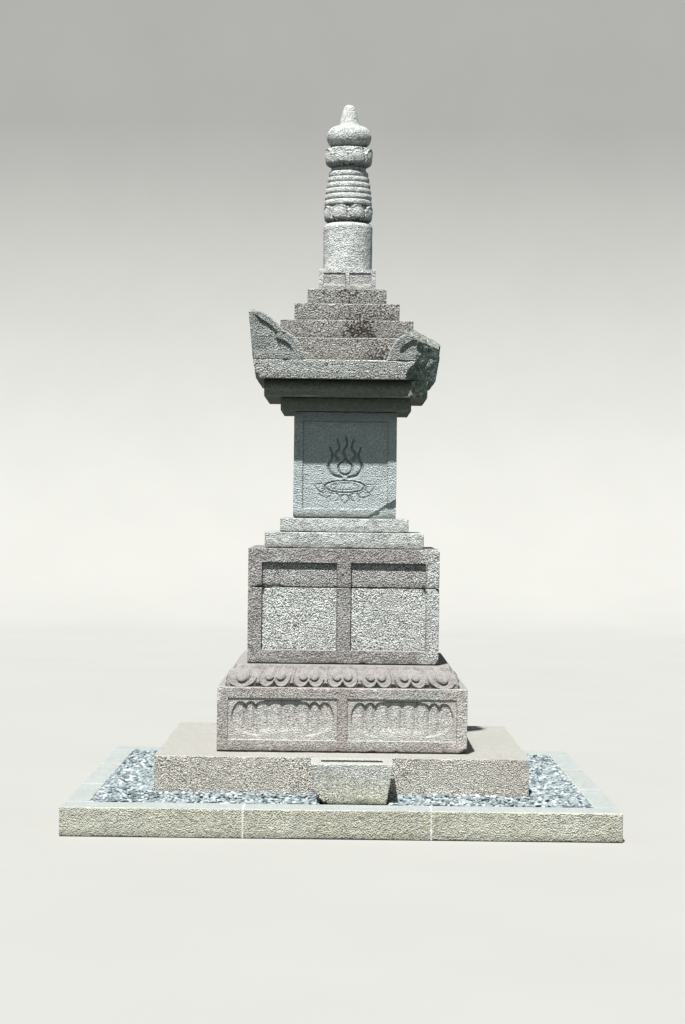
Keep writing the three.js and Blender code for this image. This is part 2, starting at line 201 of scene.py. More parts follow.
class GradientNoise:
    """Smooth seeded noise in space, made of blended slopes at the corners of unit cells."""

    def __init__(self, seed: int) -> None:
        """Draws the order and the slopes.

        Args:
            seed: Starts the random numbers, so that each run gives the same stone.
        """
        random = np.random.default_rng(seed)
        self.order = random.permutation(256)
        slopes = random.normal(size=(256, 3))
        self.slopes = slopes / np.linalg.norm(slopes, axis=1, keepdims=True)

    def layer(self, points: Array) -> Array:
        """One layer: at each point the eight corner slopes, weighed by 6t^5 - 15t^4 + 10t^3.

        Args:
            points: Coordinates in cells, three in the last place of any shape.

        Returns:
            Values from about -0.8 to 0.8.
        """
        flat = points.reshape(-1, 3)
        cell = np.floor(flat).astype(np.int64)
        part = flat - cell
        fade = part**3 * (part * (part * 6.0 - 15.0) + 10.0)
        total = np.zeros(len(flat))
        for corner in product((0, 1), repeat=3):
            index = (cell + corner) & 255
            pick = self.order[(self.order[(self.order[index[:, 0]] + index[:, 1]) & 255] + index[:, 2]) & 255]
            slope = (self.slopes[pick] * (part - corner)).sum(axis=1)
            weight = np.where(np.array(corner, bool), fade, 1.0 - fade).prod(axis=1)
            total += weight * slope
        return total.reshape(points.shape[:-1])

    def layers(self, points: Array, size: float, count: int = 3) -> Array:
        """A sum of layers, each of half the size and half the strength of the one before.

        Args:
            points: Places in metres.
            size: Width of the largest swells, in metres.
            count: How many layers are added.

        Returns:
            Values mostly from -1 to 1.
        """
        total = np.zeros(points.shape[:-1])
        for octave in range(count):
            total += self.layer(points * (2.0**octave / size) + 17.3 * octave) * 0.5**octave
        return 1.35 * total


NOISE = GradientNoise(seed=41)


def face_noise(along: Array, level: Array, size: float, count: int, shift: float = 0.0) -> Array:
    """Noise on a side of a stone, with swells of a size, at places along it and levels."""
    return NOISE.layers(np.stack([along, level, 0.0 * along + shift], axis=-1), size, count)


@dataclass(frozen=True)
class Wear:
    """How time has worn a cut stone, in metres.

    Attributes:
        edge: Rounding of a sound edge.
        chip: Extra rounding at the worst chips.
        chip_size: Length of a chip along an edge.
        face: Depth of the slow swells of a face.
        face_size: Width of those swells.
        grit: Depth of the small bumps of a face.
        grit_size: Width of those bumps.
    """

    edge: float = 0.0035
    chip: float = 0.011
    chip_size: float = 0.05
    face: float = 0.0016
    face_size: float = 0.16
    grit: float = 0.0008
    grit_size: float = 0.022


def make_mesh(
    name: str, points: Array, quads: Sequence = (), triangles: Sequence = (),
    marks: Optional[dict[str, Array]] = None,
) -> Piece:
    """Puts arrays into a new mesh object at the origin.

    Args:
        name: The piece's name.
        points: Vertex places, one row each.
        quads: Four vertex numbers a row.
        triangles: Three vertex numbers a row.
        marks: Numbers for the finishes, one a vertex, by attribute name, or none.

    Returns:
        The object, linked to the scene and smooth but for its sharp edges.
    """
    corners = np.concatenate([np.ravel(quads), np.ravel(triangles)]).astype(np.int32)
    sizes = np.concatenate([np.full(len(quads), 4), np.full(len(triangles), 3)]).astype(np.int32)
    starts = np.concatenate([[0], np.cumsum(sizes)[:-1]]).astype(np.int32)
    mesh = bpy.data.meshes.new(name)
    mesh.vertices.add(len(points))
    mesh.vertices.foreach_set("co", points.astype(np.float32).ravel())
    mesh.loops.add(len(corners))
    mesh.loops.foreach_set("vertex_index", corners)
    mesh.polygons.add(len(sizes))
    mesh.polygons.foreach_set("loop_start", starts)
    mesh.polygons.foreach_set("loop_total", sizes)
    for mark, values in (marks or {}).items():
        layer = mesh.attributes.new(mark, "FLOAT", "POINT")
        layer.data.foreach_set("value", values.astype(np.float32))
    mesh.update(calc_edges=True)
    mesh.validate()
    mesh.shade_smooth()
    mesh.set_sharp_from_angle(angle=SHARP_ANGLE)
    piece = bpy.data.objects.new(name, mesh)
    bpy.context.scene.collection.objects.link(piece)
    return piece


def grid_quads(index: Array) -> Array:
    """Quads between neighbouring rows of an open grid of vertex numbers."""
    return np.stack([index[:-1, :-1], index[1:, :-1], index[1:, 1:], index[:-1, 1:]], axis=-1).reshape(-1, 4)


def wrapped_faces(rows: int, columns: int) -> tuple[Array, Array]:
    """Faces of a grid that closes around its columns and ends in a pole below and above.

    Args:
        rows: Number of rings, the lowest first.
        columns: Number of points in a ring, anticlockwise from above.

    Returns:
        Quads between neighbouring rings, and triangles to the two poles, whose vertices come after
        the grid's: the bottom one first. All faces point outwards.
    """
    index = np.arange(rows * columns).reshape(rows, columns)
    beside = np.roll(index, -1, axis=1)
    quads = np.stack([index[:-1], beside[:-1], beside[1:], index[1:]], axis=-1).reshape(-1, 4)
    bottom, top = rows * columns, rows * columns + 1
    low = np.stack([np.full(columns, bottom), beside[0], index[0]], axis=-1)
    high = np.stack([index[-1], beside[-1], np.full(columns, top)], axis=-1)
    return quads, np.concatenate([low, high])


def make_wrapped(name: str, grid: Array, marks: dict[str, Array]) -> Piece:
    """Makes a closed piece from rings of points, with a pole at the middle of each end ring.

    Args:
        name: The piece's name.
        grid: Points as rows, columns and three coordinates.
        marks: Attribute values as rows and columns.

    Returns:
        The piece.
    """
    rows, columns = grid.shape[:2]
    quads, triangles = wrapped_faces(rows, columns)
    poles = np.stack([grid[0].mean(axis=0), grid[-1].mean(axis=0)])
    points = np.concatenate([grid.reshape(-1, 3), poles])
    flat = {
        mark: np.concatenate([values.ravel(), [values[0].mean(), values[-1].mean()]])
        for mark, values in marks.items()
    }
    return make_mesh(name, points, quads, triangles, flat)


@dataclass
class CutStone:
    """A four-sided stone whose rows run up its sides and over its ends.

    Attributes:
        name: The piece's name.
        low: Half sizes in X and Y at the foot.
        high: Half sizes in X and Y at the top.
        bottom: Level of the foot.
        top: Level of the top.
        centre: Place of the axis in X and Y.
        step: Largest spacing along the front.
        rise: Largest spacing up the sides.
        wear: How it is worn.
        relief: Depth of the carving at a place along a side and a level, or none.
        creases: Places along a side where the carving has walls.
        level_creases: Levels where the carving has walls.
        fine: Start, end and spacing of a finer span along the sides, or nothing.
        level_fine: The same for the levels.
        ledge: How far in from the top edge the top is finely divided.
        seed_shift: Moves the noise, so that no two stones wear alike.
        knocks: Broken corners, each a point and the direction that was knocked off beyond it.
        stain: Strength of darkening at a place along a side and a level, or none: stains, and painted shade
            below the tops of the steps under the eave.
        undercut: Depth of the worn joint along its foot.
        foot_edge: How much of the rounding the edges of its lower half have.
        far: How many times wider the spacing is on the sides other than the front.
    """

    name: str
    low: tuple[float, float]
    high: tuple[float, float]
    bottom: float
    top: float
    centre: tuple[float, float] = (0.0, 0.0)
    step: float = 0.014
    rise: float = 0.014
    wear: Wear = Wear()
    relief: Optional[Relief] = None
    creases: Sequence[float] = ()
    level_creases: Sequence[float] = ()
    fine: Sequence[float] = ()
    level_fine: Sequence[float] = ()
    ledge: float = 0.08
    seed_shift: float = 0.0
    knocks: Sequence[tuple[tuple[float, float, float], tuple[float, float, float]]] = ()
    stain: Optional[Relief] = None
    undercut: float = 0.0
    foot_edge: float = 1.0
    far: float = 1.3

    def columns(self) -> tuple[Array, Array, Array]:
        """Places around the stone.

        Returns:
            The outward directions, the unit places, whose larger coordinate is 1 or -1, and the
            sign-true places along each side in metres, all one row a column.
        """
        outs, units, alongs = [], [], []
        for axis in Axis:
            out, run = axis.out(), axis.run()
            half = abs(run @ np.array(self.high))
            wider = 1.0 if axis is Axis.FRONT else self.far
            fine = (*self.fine[:2], self.fine[2] * wider) if self.fine else ()
            along = graded(-half, half, self.step * wider, self.creases, fine)[:-1]
            outs.append(np.tile(out, (len(along), 1)))
            units.append(out + np.outer(along / half, run))
            alongs.append(along)
        return np.concatenate(outs), np.concatenate(units), np.concatenate(alongs)

    def rings(self) -> Array:
        """Level, inset and end mark of each ring, from the middle of the foot to that of the top."""
        narrow = min(min(self.low), min(self.high))
        edge = [inset for inset in EDGE_LINES[1:] if inset < 0.6 * narrow]
        ledge = np.arange(EDGE_LINES[-1] + self.step, min(self.ledge, 0.9 * narrow), self.step)
        under = [(self.bottom, inset, -1.0) for inset in [0.8 * narrow, *edge[::-1]]]
        levels = graded(self.bottom, self.top, self.rise, self.level_creases, self.level_fine)
        sides = [(z, 0.0, 0.0) for z in levels]
        over = [(self.top, inset, 1.0) for inset in [*edge, *ledge, 0.93 * narrow]]
        return np.array(under + sides + over)

    def surface(self) -> tuple[Array, dict[str, Array]]:
        """Works out the worn surface.

        A point p of the sharp stone is drawn to q + r(p - q)/|p - q|, with q the nearest point of the
        stone shrunk by r: that rounds edges to the radius r, which noise varies into chips. The
        point then sinks along that direction by the swells and the grit, and along its side's
        direction by the relief.

        Returns:
            The grid of points, and the marks edge, sunk, foot, crevice and stain, of which edge includes a
            painted highlight on walls that face up and crevice is mostly painted shade.
        """
        outs, units, alongs = self.columns()
        levels, insets, ends = self.rings().T
        share = ((levels - self.bottom) / (self.top - self.bottom))[:, None]
        half_x = self.low[0] + (self.high[0] - self.low[0]) * share
        half_y = self.low[1] + (self.high[1] - self.low[1]) * share
        sharp = np.stack([
            units[:, 0] * (half_x - insets[:, None]),
            units[:, 1] * (half_y - insets[:, None]),
            np.broadcast_to(levels[:, None], (len(levels), len(units))),
        ], axis=-1)
        place = sharp + np.array([*self.centre, 0.0]) + self.seed_shift
        wear = self.wear
        chips = ramp(NOISE.layers(place, wear.chip_size, 2), 0.12, 0.75)
        radius = wear.edge * (1.0 + 0.5 * NOISE.layers(place, 0.3, 2)) + wear.chip * chips
        radius = np.maximum(radius * np.where(share < 0.5, self.foot_edge, 1.0), 0.0012)
        narrow = np.minimum(half_x, half_y)
        radius = np.minimum(radius, np.minimum(0.45 * narrow, 0.45 * (self.top - self.bottom)))
        core = np.stack([
            np.clip(sharp[..., 0], radius - half_x, half_x - radius),
            np.clip(sharp[..., 1], radius - half_y, half_y - radius),
            np.clip(sharp[..., 2], self.bottom + radius, self.top - radius),
        ], axis=-1)
        away = sharp - core
        away /= np.maximum(np.linalg.norm(away, axis=-1, keepdims=True), 1e-9)
        swell = wear.face * (0.6 + 0.6 * NOISE.layers(place, wear.face_size, 2))
        grit = wear.grit * (0.6 + 0.6 * NOISE.layers(place, wear.grit_size, 2))
        grid = core + away * (radius - np.maximum(swell + grit, 0.0))[..., None]
        along_all, level_all = np.broadcast_arrays(alongs[None, :], levels[:, None])
        sunk = np.zeros(grid.shape[:2]) if self.relief is None else self.relief(along_all, level_all)
        joint = ramp(level_all, self.bottom + 0.0085, self.bottom + 0.0045)
        joint = joint * self.undercut * (1.0 + 0.4 * NOISE.layers(place, 0.05, 2))
        push = np.maximum(np.maximum(sunk, joint) - np.abs(insets * ends)[:, None], 0.0)
        grid[..., 0] -= outs[:, 0] * push
        grid[..., 1] -= outs[:, 1] * push
        grid += np.array([*self.centre, 0.0])
        for point, direction in self.knocks:
            out = np.array(direction) / np.linalg.norm(direction)
            rough = 0.006 * NOISE.layers(grid, 0.035, 3)
            grid -= np.maximum((grid - np.array(point)) @ out + rough, 0.0)[..., None] * out
        edge = np.clip((1.0 - np.abs(away).max(axis=-1)) / 0.25, 0.0, 1.0)
        foot = np.broadcast_to(ramp(levels, self.bottom + 0.07, self.bottom)[:, None], sunk.shape)
        # Mark crevice: painted shade on the relief's side walls and on walls that hang over, and the dark
        # worn joint at the foot; mark edge gets a painted highlight on walls that face up.
        growing = np.diff(sunk, axis=0, prepend=sunk[:1])
        beside = np.abs(sunk - np.roll(sunk, 1, axis=1)) / 0.005
        hanging = np.maximum(beside, -np.roll(growing, -1, axis=0) / 0.004)
        crevice = np.clip(np.maximum(hanging, joint / 0.004), 0.0, 1.0)
        edge = np.maximum(edge, np.clip(growing / 0.004, 0.0, 0.8))
        marks = {"edge": edge, "sunk": np.clip(sunk / 0.005, 0.0, 1.0), "foot": foot, "crevice": crevice}
        marks["stain"] = np.zeros(sunk.shape) if self.stain is None else self.stain(along_all, level_all)
        return grid, marks

    def build(self) -> Piece:
        """Makes the piece."""
        return make_wrapped(self.name, *self.surface())


def middle_and_half(low: Any, high: Any) -> tuple[tuple[float, float], tuple[float, float]]:
    """Middle and half size of a box, in X and Y."""
    return ((high.x + low.x) / 2.0, (high.y + low.y) / 2.0), ((high.x - low.x) / 2.0, (high.y - low.y) / 2.0)


def node_block(node: str, name: str, **options: Any) -> CutStone:
    """A stone of the size and place of a square node of the frame.

    Args:
        node: The node.
        name: The piece's name.
        **options: Other fields of the stone.

    Returns:
        The stone, not yet built.
    """
    low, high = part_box(node)
    centre, half = middle_and_half(low, high)
    return CutStone(name, half, half, low.z, high.z, centre, **options)


class Value:
    """A number that changes over the surface: operators on it add Math nodes to its tree."""

    def __init__(self, tree: bpy.types.NodeTree, socket: bpy.types.NodeSocket) -> None:
        """Wraps an output socket of a tree."""
        self.tree = tree
        self.socket = socket

    def math(self, operation: str, other: Any) -> "Value":
        """Adds a Math node on this value and another value or number."""
        return math_node(self.tree, operation, self, other)

    def __add__(self, other: Any) -> "Value":
        """This plus other."""
        return self.math("ADD", other)

    __radd__ = __add__

    def __sub__(self, other: Any) -> "Value":
        """This minus other."""
        return self.math("SUBTRACT", other)

    def __rsub__(self, other: Any) -> "Value":
        """Other minus this."""
        return math_node(self.tree, "SUBTRACT", other, self)

    def __mul__(self, other: Any) -> "Value":
        """This times other."""
        return self.math("MULTIPLY", other)

    __rmul__ = __mul__

    def between(self, low: float, high: float) -> "Value":
        """A smooth rise from 0 at low to 1 at high; low may be above high for a fall."""
        start, end, first, last = (low, high, 0.0, 1.0) if low < high else (high, low, 1.0, 0.0)
        node = self.tree.nodes.new("ShaderNodeMapRange")
        node.interpolation_type = "SMOOTHSTEP"
        self.tree.links.new(self.socket, node.inputs["Value"])
        for name, number in zip(("From Min", "From Max", "To Min", "To Max"), (start, end, first, last)):
            node.inputs[name].default_value = number
        return Value(self.tree, node.outputs["Result"])


def math_node(tree: bpy.types.NodeTree, operation: str, *inputs: Any) -> Value:
    """Adds a Math node.

    Args:
        tree: The tree that it goes into.
        operation: The node's operation.
        *inputs: Values or numbers.

    Returns:
        The result.
    """
    node = tree.nodes.new("ShaderNodeMath")
    node.operation = operation
    for socket, given in zip(node.inputs, inputs):
        if isinstance(given, Value):
            tree.links.new(given.socket, socket)
        else:
            socket.default_value = given
    return Value(tree, node.outputs[0])


class Shader:
    """The node tree of one stone finish, with short ways to add its nodes."""

    def __init__(self, name: str) -> None:
        """Starts a material with one shader and its output.

        Args:
            name: The material's name.
        """
        self.material = bpy.data.materials.new(name)
        self.material.use_nodes = True
        self.tree = self.material.node_tree
        self.surface = self.tree.nodes["Principled BSDF"]
        self.place = self.node("ShaderNodeTexCoord", {}, {}, "Object")

    def node(self, kind: str, settings: dict[str, Any], inputs: dict[Any, Any], output: Any = 0) -> Any:
        """Adds any node.

        Args:
            kind: The node's type.
            settings: Properties that are set first.
            inputs: Socket values or links, by socket name or number.
            output: Name or number of the output that is wanted.

        Returns:
            The wanted output socket.
        """
        made = self.tree.nodes.new(kind)
        for key, setting in settings.items():
            setattr(made, key, setting)
        for key, given in inputs.items():
            source = given.socket if isinstance(given, Value) else given
            if isinstance(source, bpy.types.NodeSocket):
                self.tree.links.new(source, made.inputs[key])
            else:
                made.inputs[key].default_value = source
        return made.outputs[output]

    def stretched(self, scale: tuple[float, float, float], shift: float = 0.0) -> Any:
        """Object coordinates multiplied along each axis and moved."""
        moved = {"Vector": self.place, "Scale": scale, "Location": (shift, shift, shift)}
        return self.node("ShaderNodeMapping", {}, moved, "Vector")

    def noise(self, scale: float, detail: float = 3.0, rough: float = 0.55, place: Any = None) -> Value:
        """Cloudy noise from 0 to 1, with the given number of swells a metre."""
        inputs = {"Vector": place or self.place, "Scale": scale, "Detail": detail, "Roughness": rough}
        return Value(self.tree, self.node("ShaderNodeTexNoise", {}, inputs, "Fac"))

    def mark(self, name: str) -> Value:
        """One of the piece's own attributes."""
        return Value(self.tree, self.node("ShaderNodeAttribute", {"attribute_name": name}, {}, "Fac"))

    def facing_up(self) -> Value:
        """The upward part of the surface's own direction, from -1 to 1."""
        normal = self.node("ShaderNodeNewGeometry", {}, {}, "Normal")
        return Value(self.tree, self.node("ShaderNodeSeparateXYZ", {}, {"Vector": normal}, "Z"))

    def mix(self, share: Any, first: Any, second: Any, blend: str = "MIX") -> Any:
        """Mixes two colours by a share from 0 to 1.

        Args:
            share: A value or a number.
            first: Colour at share 0, as a socket or three numbers.
            second: Colour at share 1, as a socket or three numbers.
            blend: The Mix node's way of mixing.

        Returns:
            The mixed colour's socket.
        """
        is_socket = [isinstance(given, bpy.types.NodeSocket) for given in (first, second)]
        sides = [given if linked else (*given, 1.0) for given, linked in zip((first, second), is_socket)]
        settings = {"data_type": "RGBA", "blend_type": blend}
        return self.node("ShaderNodeMix", settings, {0: share, 6: sides[0], 7: sides[1]}, 2)

    def bump(self, height: Value, distance: float) -> Any:
        """Adds a Bump node of the given height in metres."""
        inputs = {"Height": height, "Distance": distance, "Strength": 1.0}
        return self.node("ShaderNodeBump", {}, inputs, "Normal")

    def finish(self, colour: Any, roughness: Any, normal: Any) -> bpy.types.Material:
        """Feeds the shader and returns the material."""
        for name, given in (("Base Color", colour), ("Roughness", roughness), ("Normal", normal)):
            source = given.socket if isinstance(given, Value) else given
            self.tree.links.new(source, self.surface.inputs[name])
        self.surface.inputs["Specular IOR Level"].default_value = 0.25
        return self.material


@dataclass(frozen=True)
class StoneFinish:
    """A weathered stone; its colours are screen values, but for the colour of stains and painted shade.

    Attributes:
        name: The material's name, by which the pieces' slots find it.
        ground: Colour of the bare stone.
        tint: Colour of broad clouds in it.
        top: Colour of washed tops.
        tint_share: How strongly the clouds show.
        panel_clean: How much less they show in sunk panels.
        lichen: Colour of the lichen crusts.
        lichen_share: How much of the stone they cover, from 0 to 1.
        panel_lichen: How much more of the sunk panels they cover.
        stain: What the colour is multiplied by where the pieces carry that mark: stains, and painted shade
            below the tops of the steps under the eave.
        moss: Colour of dark growth where the pieces carry the mark moss.
        contrast: Strength of the light and dark grains.
        calm: How much weaker the grains are outside sunk panels.
        mottle: Strength of the broader light and dark patches.
        hollow_shade: How dark the painted shade in each small hollow is.
        relief: Height of the hammered surface in metres.
        edge_wear_and_highlight: How pale worn edges are, with a painted highlight on rounded edges and ledges
            that face up.
        foot_growth: How strongly damp growth shows at the foot of a stone.
        shift: Moves the pattern, so that two finishes never match.
    """

    name: str
    ground: ScreenColour
    tint: ScreenColour
    top: ScreenColour
    tint_share: float = 0.6
    panel_clean: float = 0.7
    lichen: ScreenColour = (206, 209, 204)
    lichen_share: float = 0.3
    panel_lichen: float = 0.0
    stain: Colour = (0.62, 0.585, 0.585)
    moss: ScreenColour = (52, 43, 40)
    contrast: float = 1.0
    calm: float = 0.0
    mottle: float = 0.7
    hollow_shade: float = 0.25
    relief: float = 0.010
    edge_wear_and_highlight: float = 0.45
    foot_growth: float = 0.3
    shift: float = 0.0

    def build(self) -> bpy.types.Material:
        """Builds the material.

        Returns:
            A rough stone: clouded ground colour, fine grains, painted shade in each small hollow, in creases
                and on faces that look down, lichen crusts, moss, pale edges that are partly a painted
                highlight, and bumps that follow the same patterns.
        """
        shader = Shader(self.name)
        here = shader.stretched((1.0, 1.0, 1.0), self.shift)
        narrow = shader.stretched((1.4, 1.4, 1.0), self.shift)
        clouds = shader.noise(2.6, 4.0, 0.55, here)
        patches = shader.noise(13.0, 4.0, 0.6, here)
        lumps = shader.noise(50.0, 2.0, 0.5, here)
        dots = shader.noise(95.0, 0.0, 0.5, here)
        hammered = shader.noise(150.0, 0.0, 0.5, narrow)
        crusts = shader.noise(7.0, 5.0, 0.7, shader.stretched((1.0, 1.0, 1.0), self.shift + 9.0))
        panel = shader.mark("sunk")

        cloud_tint = (clouds * 0.6 + patches * 0.4).between(0.42, 0.6) * self.tint_share
        ground = linear(*self.ground)
        colour = shader.mix(cloud_tint * (1.0 - panel * self.panel_clean), ground, linear(*self.tint))
        mottling = (lumps - 0.5) * 0.8 + (patches - 0.5) * 0.9
        strength = (panel * self.calm + (1.0 - self.calm)) * (2.4 * self.contrast)
        shade = ((hammered - 0.5) * strength + mottling * self.mottle + 1.0).math("MAXIMUM", 0.15)
        channels = {"Red": shade, "Green": shade, "Blue": shade}
        tone = shader.node("ShaderNodeCombineColor", {}, channels, "Color")
        colour = shader.mix(1.0, colour, tone, "MULTIPLY")

        reach = 0.68 - 0.26 * self.lichen_share
        cover = crusts * 0.62 + hammered * 0.22 + lumps * 0.16 + panel * (0.14 * self.panel_lichen)
        lichen = cover.between(reach, reach + 0.07)
        colour = shader.mix(lichen * 0.6, colour, linear(*self.lichen))

        up = shader.facing_up()
        colour = shader.mix(up.between(0.6, 0.95) * 0.7, colour, linear(*self.top))
        # Pale edges: worn stone, and a painted highlight on rounded edges and on walls that face up.
        worn = (shader.mark("edge") * (patches * 0.9 + 0.45)).between(0.1, 0.8)
        colour = shader.mix(worn * self.edge_wear_and_highlight, colour, tuple(0.32 + 0.66 * part for part in ground))
        # Painted shade: faces that look down are darkened towards a dark green-grey.
        colour = shader.mix(up.between(-0.4, -0.9) * 0.55, colour, linear(70, 74, 64))

        damp = (shader.mark("foot") * 0.5 + patches * 0.6 + hammered * 0.2).between(0.62, 0.9)
        colour = shader.mix(damp * self.foot_growth, colour, linear(88, 92, 74))
        # Darkening for stains, and painted shade below the tops of the steps under the eave.
        colour = shader.mix(shader.mark("stain"), colour, self.stain, "MULTIPLY")
        # Mark crevice: painted shade on carving walls and under overhangs; it also darkens worn foot joints
        # and the dirt in the basin's hollow.
        colour = shader.mix(shader.mark("crevice") * 0.6, colour, tuple(part * 0.18 for part in ground))
        # Painted shade in each small hollow of the hammered surface.
        pit_shade = (hammered * 0.7 + dots * 0.3).between(0.37, 0.29)
        colour = shader.mix(pit_shade * self.hollow_shade, colour, tuple(part * 0.25 for part in ground))
        marked = shader.mark("moss")
        growth = marked * 0.5 + (dots - 0.5) * 2.2 + (hammered - 0.5) * 0.6 + (patches - 0.5) * 0.9
        grown = growth.between(0.40, 0.50) * marked.between(0.04, 0.30)
        colour = shader.mix(grown * 0.9, colour, linear(*self.moss))

        height = hammered + lumps * (0.6 * self.mottle) + patches * 1.1 + lichen * 0.03
        return shader.finish(colour, hammered * 0.1 + 0.86, shader.bump(height, self.relief))


@dataclass(frozen=True)
class PebbleFinish:
    """Loose pebbles, each with its own shade by the mark tone.

    Attributes:
        name: The material's name.
        dark: Colour of the darkest pebbles.
        middle: Colour of most pebbles.
        light: Colour of the few pale ones.
    """

    name: str
    dark: ScreenColour
    middle: ScreenColour
    light: ScreenColour

    def build(self) -> bpy.types.Material:
        """Builds the material: a shade for each pebble, a little mottled, with a fine grit."""
        shader = Shader(self.name)
        tone = shader.mark("tone")
        grit = shader.noise(210.0, 3.0, 0.6)
        middle = linear(*self.middle)
        colour = shader.mix(tone.between(0.0, 0.55), linear(*self.dark), middle)
        colour = shader.mix(tone.between(0.62, 1.0), colour, linear(*self.light))
        colour = shader.mix(grit.between(0.35, 0.7) * 0.3, colour, tuple(part * 0.55 for part in middle))
        return shader.finish(colour, grit * 0.2 + 0.6, shader.bump(grit, 0.003))


class Finishes:
    """Every finish of the tower, made once."""

    def __init__(self) -> None:
        """Builds the materials by slot name."""
        plain = StoneFinish("base_stone", (202, 205, 202), (178, 174, 173), (172, 174, 170),
                            panel_lichen=0.5, contrast=1.1, tint_share=0.5)
        kinds = [
            replace(plain, contrast=1.3, calm=0.45),
            replace(plain, name="box_stone", ground=(190, 190, 186), tint=(181, 169, 165), panel_clean=0.2,
                    contrast=0.6, mottle=0.6, relief=0.007, edge_wear_and_highlight=0.6, shift=53.0),
            replace(plain, name="petal_stone", ground=(154, 151, 149), tint=(147, 141, 140),
                    top=(152, 150, 148), moss=(58, 55, 54), relief=0.0035, contrast=0.35, hollow_shade=0.0,
                    lichen_share=0.1, shift=41.0),
            replace(plain, name="step_stone", ground=(197, 202, 200), tint=(180, 183, 181),
                    lichen=(222, 225, 222), lichen_share=0.5, relief=0.007, contrast=0.6, mottle=1.5,
                    hollow_shade=0.15, edge_wear_and_highlight=0.95, shift=43.0),
            replace(plain, name="kerb_stone", ground=(197, 198, 184), tint=(178, 174, 156),
                    top=(160, 170, 175), tint_share=0.6, relief=0.006, hollow_shade=0.1, contrast=0.5,
                    mottle=1.2, edge_wear_and_highlight=0.5, shift=31.0),
            replace(plain, name="plinth_stone", ground=(192, 190, 182), tint=(176, 168, 161),
                    top=(178, 178, 173), contrast=0.95, relief=0.009, hollow_shade=0.35, shift=7.0),
            replace(plain, name="basin_stone", ground=(226, 227, 220), tint=(204, 205, 195),
                    top=(170, 172, 166), lichen=(240, 242, 238), stain=(0.96, 0.94, 0.87),
                    lichen_share=0.4, panel_lichen=1.0, panel_clean=0.0, foot_growth=0.7, contrast=0.8,
                    mottle=1.0, hollow_shade=0.2, relief=0.008, shift=13.0),
            replace(plain, name="body_stone", ground=(188, 199, 200), tint=(176, 186, 186), relief=0.008,
                    contrast=0.5, mottle=0.4, hollow_shade=0.1, foot_growth=0.6, panel_lichen=0.3,
                    edge_wear_and_highlight=0.2, shift=19.0),
            replace(plain, name="roof_stone", ground=(160, 160, 156), tint=(146, 139, 136),
                    top=(154, 155, 151), lichen=(190, 193, 188), lichen_share=0.2, hollow_shade=0.4,
                    edge_wear_and_highlight=0.95, shift=23.0),
            # The darkening colour of this finish is painted shade, strongest just below the tops of the steps
            # under the eave.
            replace(plain, name="soffit_stone", ground=(156, 158, 148), tint=(144, 146, 134),
                    stain=(0.155, 0.18, 0.14), contrast=0.4, hollow_shade=0.0, relief=0.006, lichen_share=0.1,
                    edge_wear_and_highlight=0.1, shift=61.0),
            replace(plain, name="eave_stone", ground=(198, 201, 197), tint=(177, 176, 172),
                    top=(168, 170, 166), lichen=(204, 208, 203), lichen_share=0.35, edge_wear_and_highlight=1.0,
                    shift=47.0),
            replace(plain, name="ear_stone", ground=(167, 171, 168), tint=(151, 152, 149),
                    top=(156, 158, 154), lichen=(206, 210, 206), lichen_share=0.35, contrast=0.8,
                    edge_wear_and_highlight=0.5, shift=59.0),
            replace(plain, name="finial_stone", ground=(210, 213, 211), tint=(180, 184, 182),
                    lichen=(228, 230, 227), lichen_share=0.4, contrast=0.55, mottle=1.3, hollow_shade=0.15,
                    relief=0.006, shift=29.0),
            replace(plain, name="fracture", ground=(146, 160, 150), tint=(108, 120, 110),
                    top=(140, 144, 140), lichen=(250, 255, 250), tint_share=1.0, lichen_share=0.65,
                    relief=0.012, mottle=2.2, hollow_shade=0.5, shift=3.0),
            replace(plain, name="mortar", ground=(228, 228, 224), tint=(216, 214, 208),
                    top=(206, 207, 204), lichen_share=0.0, contrast=0.3, hollow_shade=0.0, relief=0.003),
            PebbleFinish("gravel", (90, 103, 109), (153, 165, 169), (202, 209, 209)),
        ]
        self.materials = {kind.name: kind.build() for kind in kinds}

    def dress(self, piece: Piece, slot: str, material: Optional[str] = None) -> None:
        """Gives a piece its material.

        Args:
            piece: The piece.
            slot: The piece's slot, whose name is its material's unless material is given.
            material: Name of the material, where it isn't the slot's.
        """
        piece.data.materials.clear()
        piece.data.materials.append(self.materials[material or slot])


class SubAssembly:
    """What all the tower's sub-assemblies share: placing, dressing and reporting their pieces."""

    def __init__(self, finishes: Finishes) -> None:
        """Keeps the finishes.

        Args:
            finishes: The tower's materials.
        """
        self.finishes = finishes

    def place(self, piece: Piece, slot: str, *nodes: str, material: Optional[str] = None) -> None:
        """Makes a piece ride the tower, stand for its nodes and wear its finish.

        Args:
            piece: The finished piece.
            slot: The piece's slot, whose name is its material's unless material is given.
            *nodes: Frame nodes that it stands for.
            material: Name of the material, where it isn't the slot's.
        """
        self.finishes.dress(piece, slot, material)
        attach(piece, "root")
        if nodes:
            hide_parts(*nodes)
        LOG.info("%s: %d faces", piece.name, len(piece.data.polygons))


